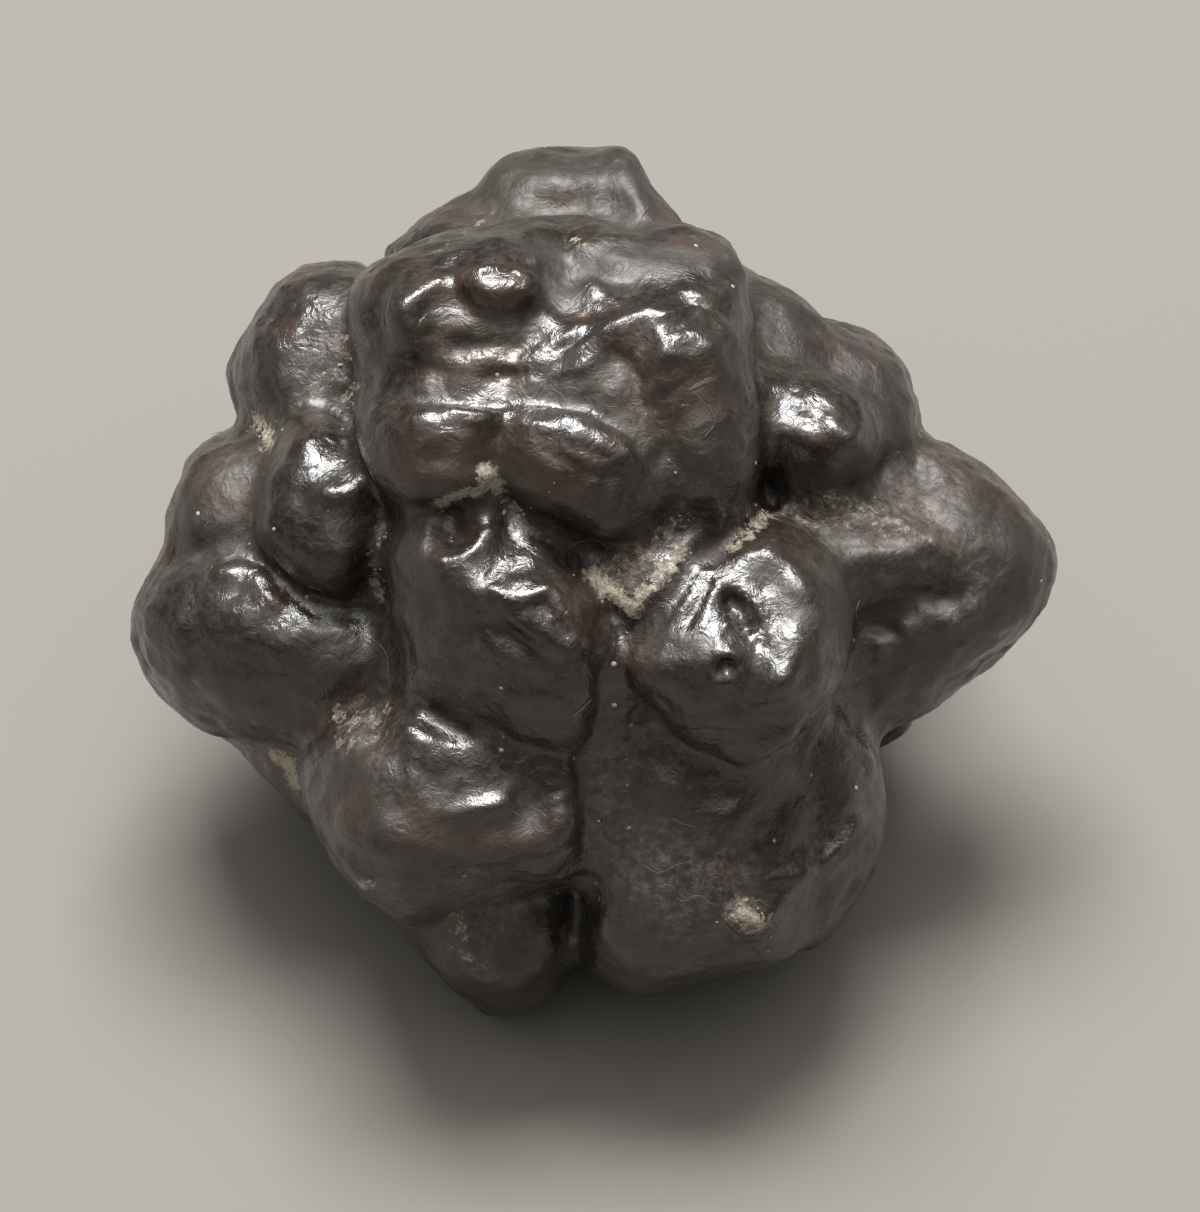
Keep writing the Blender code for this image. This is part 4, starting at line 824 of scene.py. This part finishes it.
def flake(name, unevenness, dice):
    """One flat uneven flake, a millimetre in radius."""
    bpy.ops.object.select_all(action="DESELECT")
    bpy.ops.mesh.primitive_ico_sphere_add(subdivisions=2, radius=MM)
    piece = bpy.context.active_object
    piece.name = name
    bpy.ops.object.mode_set(mode="EDIT")
    bpy.ops.transform.resize(
        value=(1.0, dice.uniform(*FLAKE_WIDTHS), dice.uniform(*FLAKE_THICKNESSES)))
    bpy.ops.transform.vertex_random(offset=unevenness * MM, seed=dice.randrange(1000))
    bpy.ops.object.mode_set(mode="OBJECT")
    return piece


def scatter(pattern, name, places, dice):
    """Flat copies of the pattern at each place, along the skin there, joined into one piece."""
    copies = []
    for place, normal, size in places:
        pick(pattern)
        bpy.ops.object.duplicate()
        copy = bpy.context.active_object
        copy.location = place
        lean = normal + Vector([dice.gauss(0.0, FLAKE_LEAN) for _ in range(3)])
        turn = Matrix.Rotation(dice.uniform(0.0, math.tau), 3, "Z")
        copy.rotation_euler = (lean.to_track_quat("Z", "Y").to_matrix() @ turn).to_euler()
        copy.scale = [size] * 3
        copies.append(copy)
    bpy.data.objects.remove(pattern)
    return join(copies, name)


def join(pieces, name):
    """Makes the pieces one, with its place in its mesh."""
    pick(*pieces)
    bpy.ops.object.join()
    piece = bpy.context.active_object
    bpy.ops.object.transform_apply(location=True, rotation=True, scale=True)
    piece.name = name
    return piece


def chosen(skin, numbers, count, sizes, dice):
    """Places, normals and sizes for a count of flakes on these points of the skin."""
    points, normals = points_of(skin), normals_of(skin)
    numbers = [dice.choice(numbers) for _ in range(count)]
    return [
        (Vector(points[number]), Vector(normals[number]), dice.uniform(*sizes))
        for number in numbers]


def crumb_places(skin, tree, dice):
    """Places for the crumbs on the thick crust, and in hollows elsewhere."""
    places = []
    for _ in range(CRUST_CRUMBS):
        spot = dice.choice(THICK_CRUST)
        seen = Vector(dice.choice(along(spot.route)))
        seen += Vector((dice.gauss(0.0, 0.5), dice.gauss(0.0, 0.5))) * spot.width
        place, normal = on_skin(tree, seen)
        if place is not None:
            places.append((place, normal, dice.uniform(*CRUMB_SIZES)))
    deep = np.flatnonzero((hollows(skin) > CRUMB_HOLLOW) & (points_of(skin)[:, 2] > LOWEST_CRUMB * MM))
    return places + chosen(skin, deep, HOLLOW_CRUMBS, CRUMB_SIZES, dice)


def speck_places(skin, tree, dice):
    """Places for the larger specks, and for the fine ones all over the stone."""
    places = [(*on_skin(tree, speck[:2]), speck[2]) for speck in SPECKS]
    places = [place for place in places if place[0] is not None]
    high = np.flatnonzero(points_of(skin)[:, 2] > LOWEST_SPECK * MM)
    return places + chosen(skin, high, LOOSE_SPECKS, SPECK_SIZES, dice)


def fibre(number, line):
    """A fibre of lint along a line of points."""
    bpy.ops.object.select_all(action="DESELECT")
    bpy.ops.curve.primitive_nurbs_path_add()
    piece = bpy.context.active_object
    piece.name = f"fibre_{number}"
    piece.data.splines.clear()
    spline = piece.data.splines.new("BEZIER")
    spline.bezier_points.add(len(line) - 1)
    for point, place in zip(spline.bezier_points, line):
        point.co = place
        point.handle_left_type = point.handle_right_type = "AUTO"
    piece.data.bevel_depth = FIBRE_RADIUS * MM
    piece.data.bevel_resolution = 1
    piece.data.resolution_u = 5
    piece.data.use_fill_caps = True
    bpy.ops.object.convert(target="MESH")
    return piece


def make_lint(skin, tree, dice):
    """The fibres along their routes, and a few laid at random."""
    fibres = []
    for route in LINT:
        line = []
        for seen in route:
            place, normal = on_skin(tree, seen)
            if place is not None:
                line.append(place + normal * (FIBRE_HEIGHT + dice.uniform(0.0, FIBRE_WAVE)) * MM)
        if len(line) > 1:
            fibres.append(fibre(len(fibres), line))
    points, normals = points_of(skin), normals_of(skin)
    high = np.flatnonzero(points[:, 2] > LOWEST_FIBRE * MM)
    for _ in range(RANDOM_FIBRES):
        start = dice.choice(high)
        any_way = Vector([dice.uniform(-1.0, 1.0) for _ in range(3)])
        across = Vector(normals[start]).cross(any_way).normalized()
        line = []
        for step in RANDOM_STEPS:
            place, normal = tree.find_nearest(Vector(points[start]) + across * step * MM)[:2]
            line.append(place + normal * (FIBRE_HEIGHT + dice.uniform(0.0, RANDOM_WAVE)) * MM)
        fibres.append(fibre(len(fibres), line))
    return join(fibres, "lint")


def make_floor():
    """A plain pale floor."""
    bpy.ops.object.select_all(action="DESELECT")
    bpy.ops.mesh.primitive_plane_add(size=FLOOR_SIZE, location=(0.0, 0.0, 0.0))
    floor = bpy.context.active_object
    floor.name = "floor"
    material = bpy.data.materials.new("pale_floor")
    material.use_nodes = True
    shader = material.node_tree.nodes["Principled BSDF"]
    shader.inputs["Base Color"].default_value = FLOOR_COLOUR
    shader.inputs["Roughness"].default_value = FLOOR_ROUGHNESS
    shader.inputs["Specular IOR Level"].default_value = FLOOR_SPECULAR
    floor.data.materials.append(material)


def make_panel():
    """A soft panel of light overhead, turned to the stone."""
    light = bpy.data.lights.new("overhead_panel", "AREA")
    light.shape = "RECTANGLE"
    light.size, light.size_y = PANEL_SIZE
    light.energy = PANEL_POWER
    panel = bpy.data.objects.new("overhead_panel", light)
    bpy.context.scene.collection.objects.link(panel)
    panel.location = PANEL_PLACE
    panel.rotation_euler = (STONE_MIDDLE - Vector(PANEL_PLACE)).to_track_quat("-Z", "Y").to_euler()


def make_world():
    """The soft light from all around, by its height above the horizon."""
    world = bpy.data.worlds.new("studio")
    world.use_nodes = True
    nodes, links = world.node_tree.nodes, world.node_tree.links
    direction = nodes.new("ShaderNodeTexCoord")
    height = nodes.new("ShaderNodeSeparateXYZ")
    ramp = nodes.new("ShaderNodeValToRGB")
    steps = ramp.color_ramp.elements
    steps[0].position, steps[0].color = SKY[0]
    steps[1].position, steps[1].color = SKY[-1]
    for position, colour in SKY[1:-1]:
        steps.new(position).color = colour
    links.new(direction.outputs["Generated"], height.inputs["Vector"])
    links.new(height.outputs["Z"], ramp.inputs["Fac"])
    links.new(ramp.outputs["Color"], nodes["Background"].inputs["Color"])
    bpy.context.scene.world = world


def make_camera():
    """The camera, a little beside the place that the lines are seen from, to frame the stone."""
    right, up, towards = view_axes()
    camera = bpy.data.cameras.new("camera")
    camera.sensor_width = CAMERA_SENSOR
    camera.lens = CAMERA_SENSOR * VIEW_DISTANCE / FRAME_HEIGHT
    holder = bpy.data.objects.new("camera", camera)
    bpy.context.scene.collection.objects.link(holder)
    place = eye() + right * CAMERA_OFFSET[0] + up * CAMERA_OFFSET[1]
    turn = Matrix((right, up, towards)).transposed().to_4x4()
    holder.matrix_world = Matrix.Translation(place) @ turn
    bpy.context.scene.camera = holder


def carry(piece):
    """Makes the piece part of the stone."""
    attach(piece, "root")
    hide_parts("stone")


def main():
    """The stone with all that lies on it, then the floor, the light and the camera."""
    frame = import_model()
    skin = make_skin(frame["nodes"]["stone"])
    skin.data.materials.clear()
    skin.data.materials.append(iron_oxide())
    carry(skin)
    dice = random.Random(SEED)
    tree = skin_tree(skin)
    crumb = flake("crumb", CRUMB_UNEVENNESS, dice)
    crumbs = scatter(crumb, "crust_crumbs", crumb_places(skin, tree, dice), dice)
    speck = flake("speck", SPECK_UNEVENNESS, dice)
    specks = scatter(speck, "dust_specks", speck_places(skin, tree, dice), dice)
    lint = make_lint(skin, tree, dice)
    for piece, stuff in ((crumbs, crust_stuff()), (specks, dust_stuff()), (lint, lint_stuff())):
        piece.data.materials.clear()
        piece.data.materials.append(stuff)
        keep_in_box(piece)
        carry(piece)
    make_floor()
    make_panel()
    make_world()
    make_camera()
    bpy.context.scene.view_settings.view_transform = "Standard"


main()
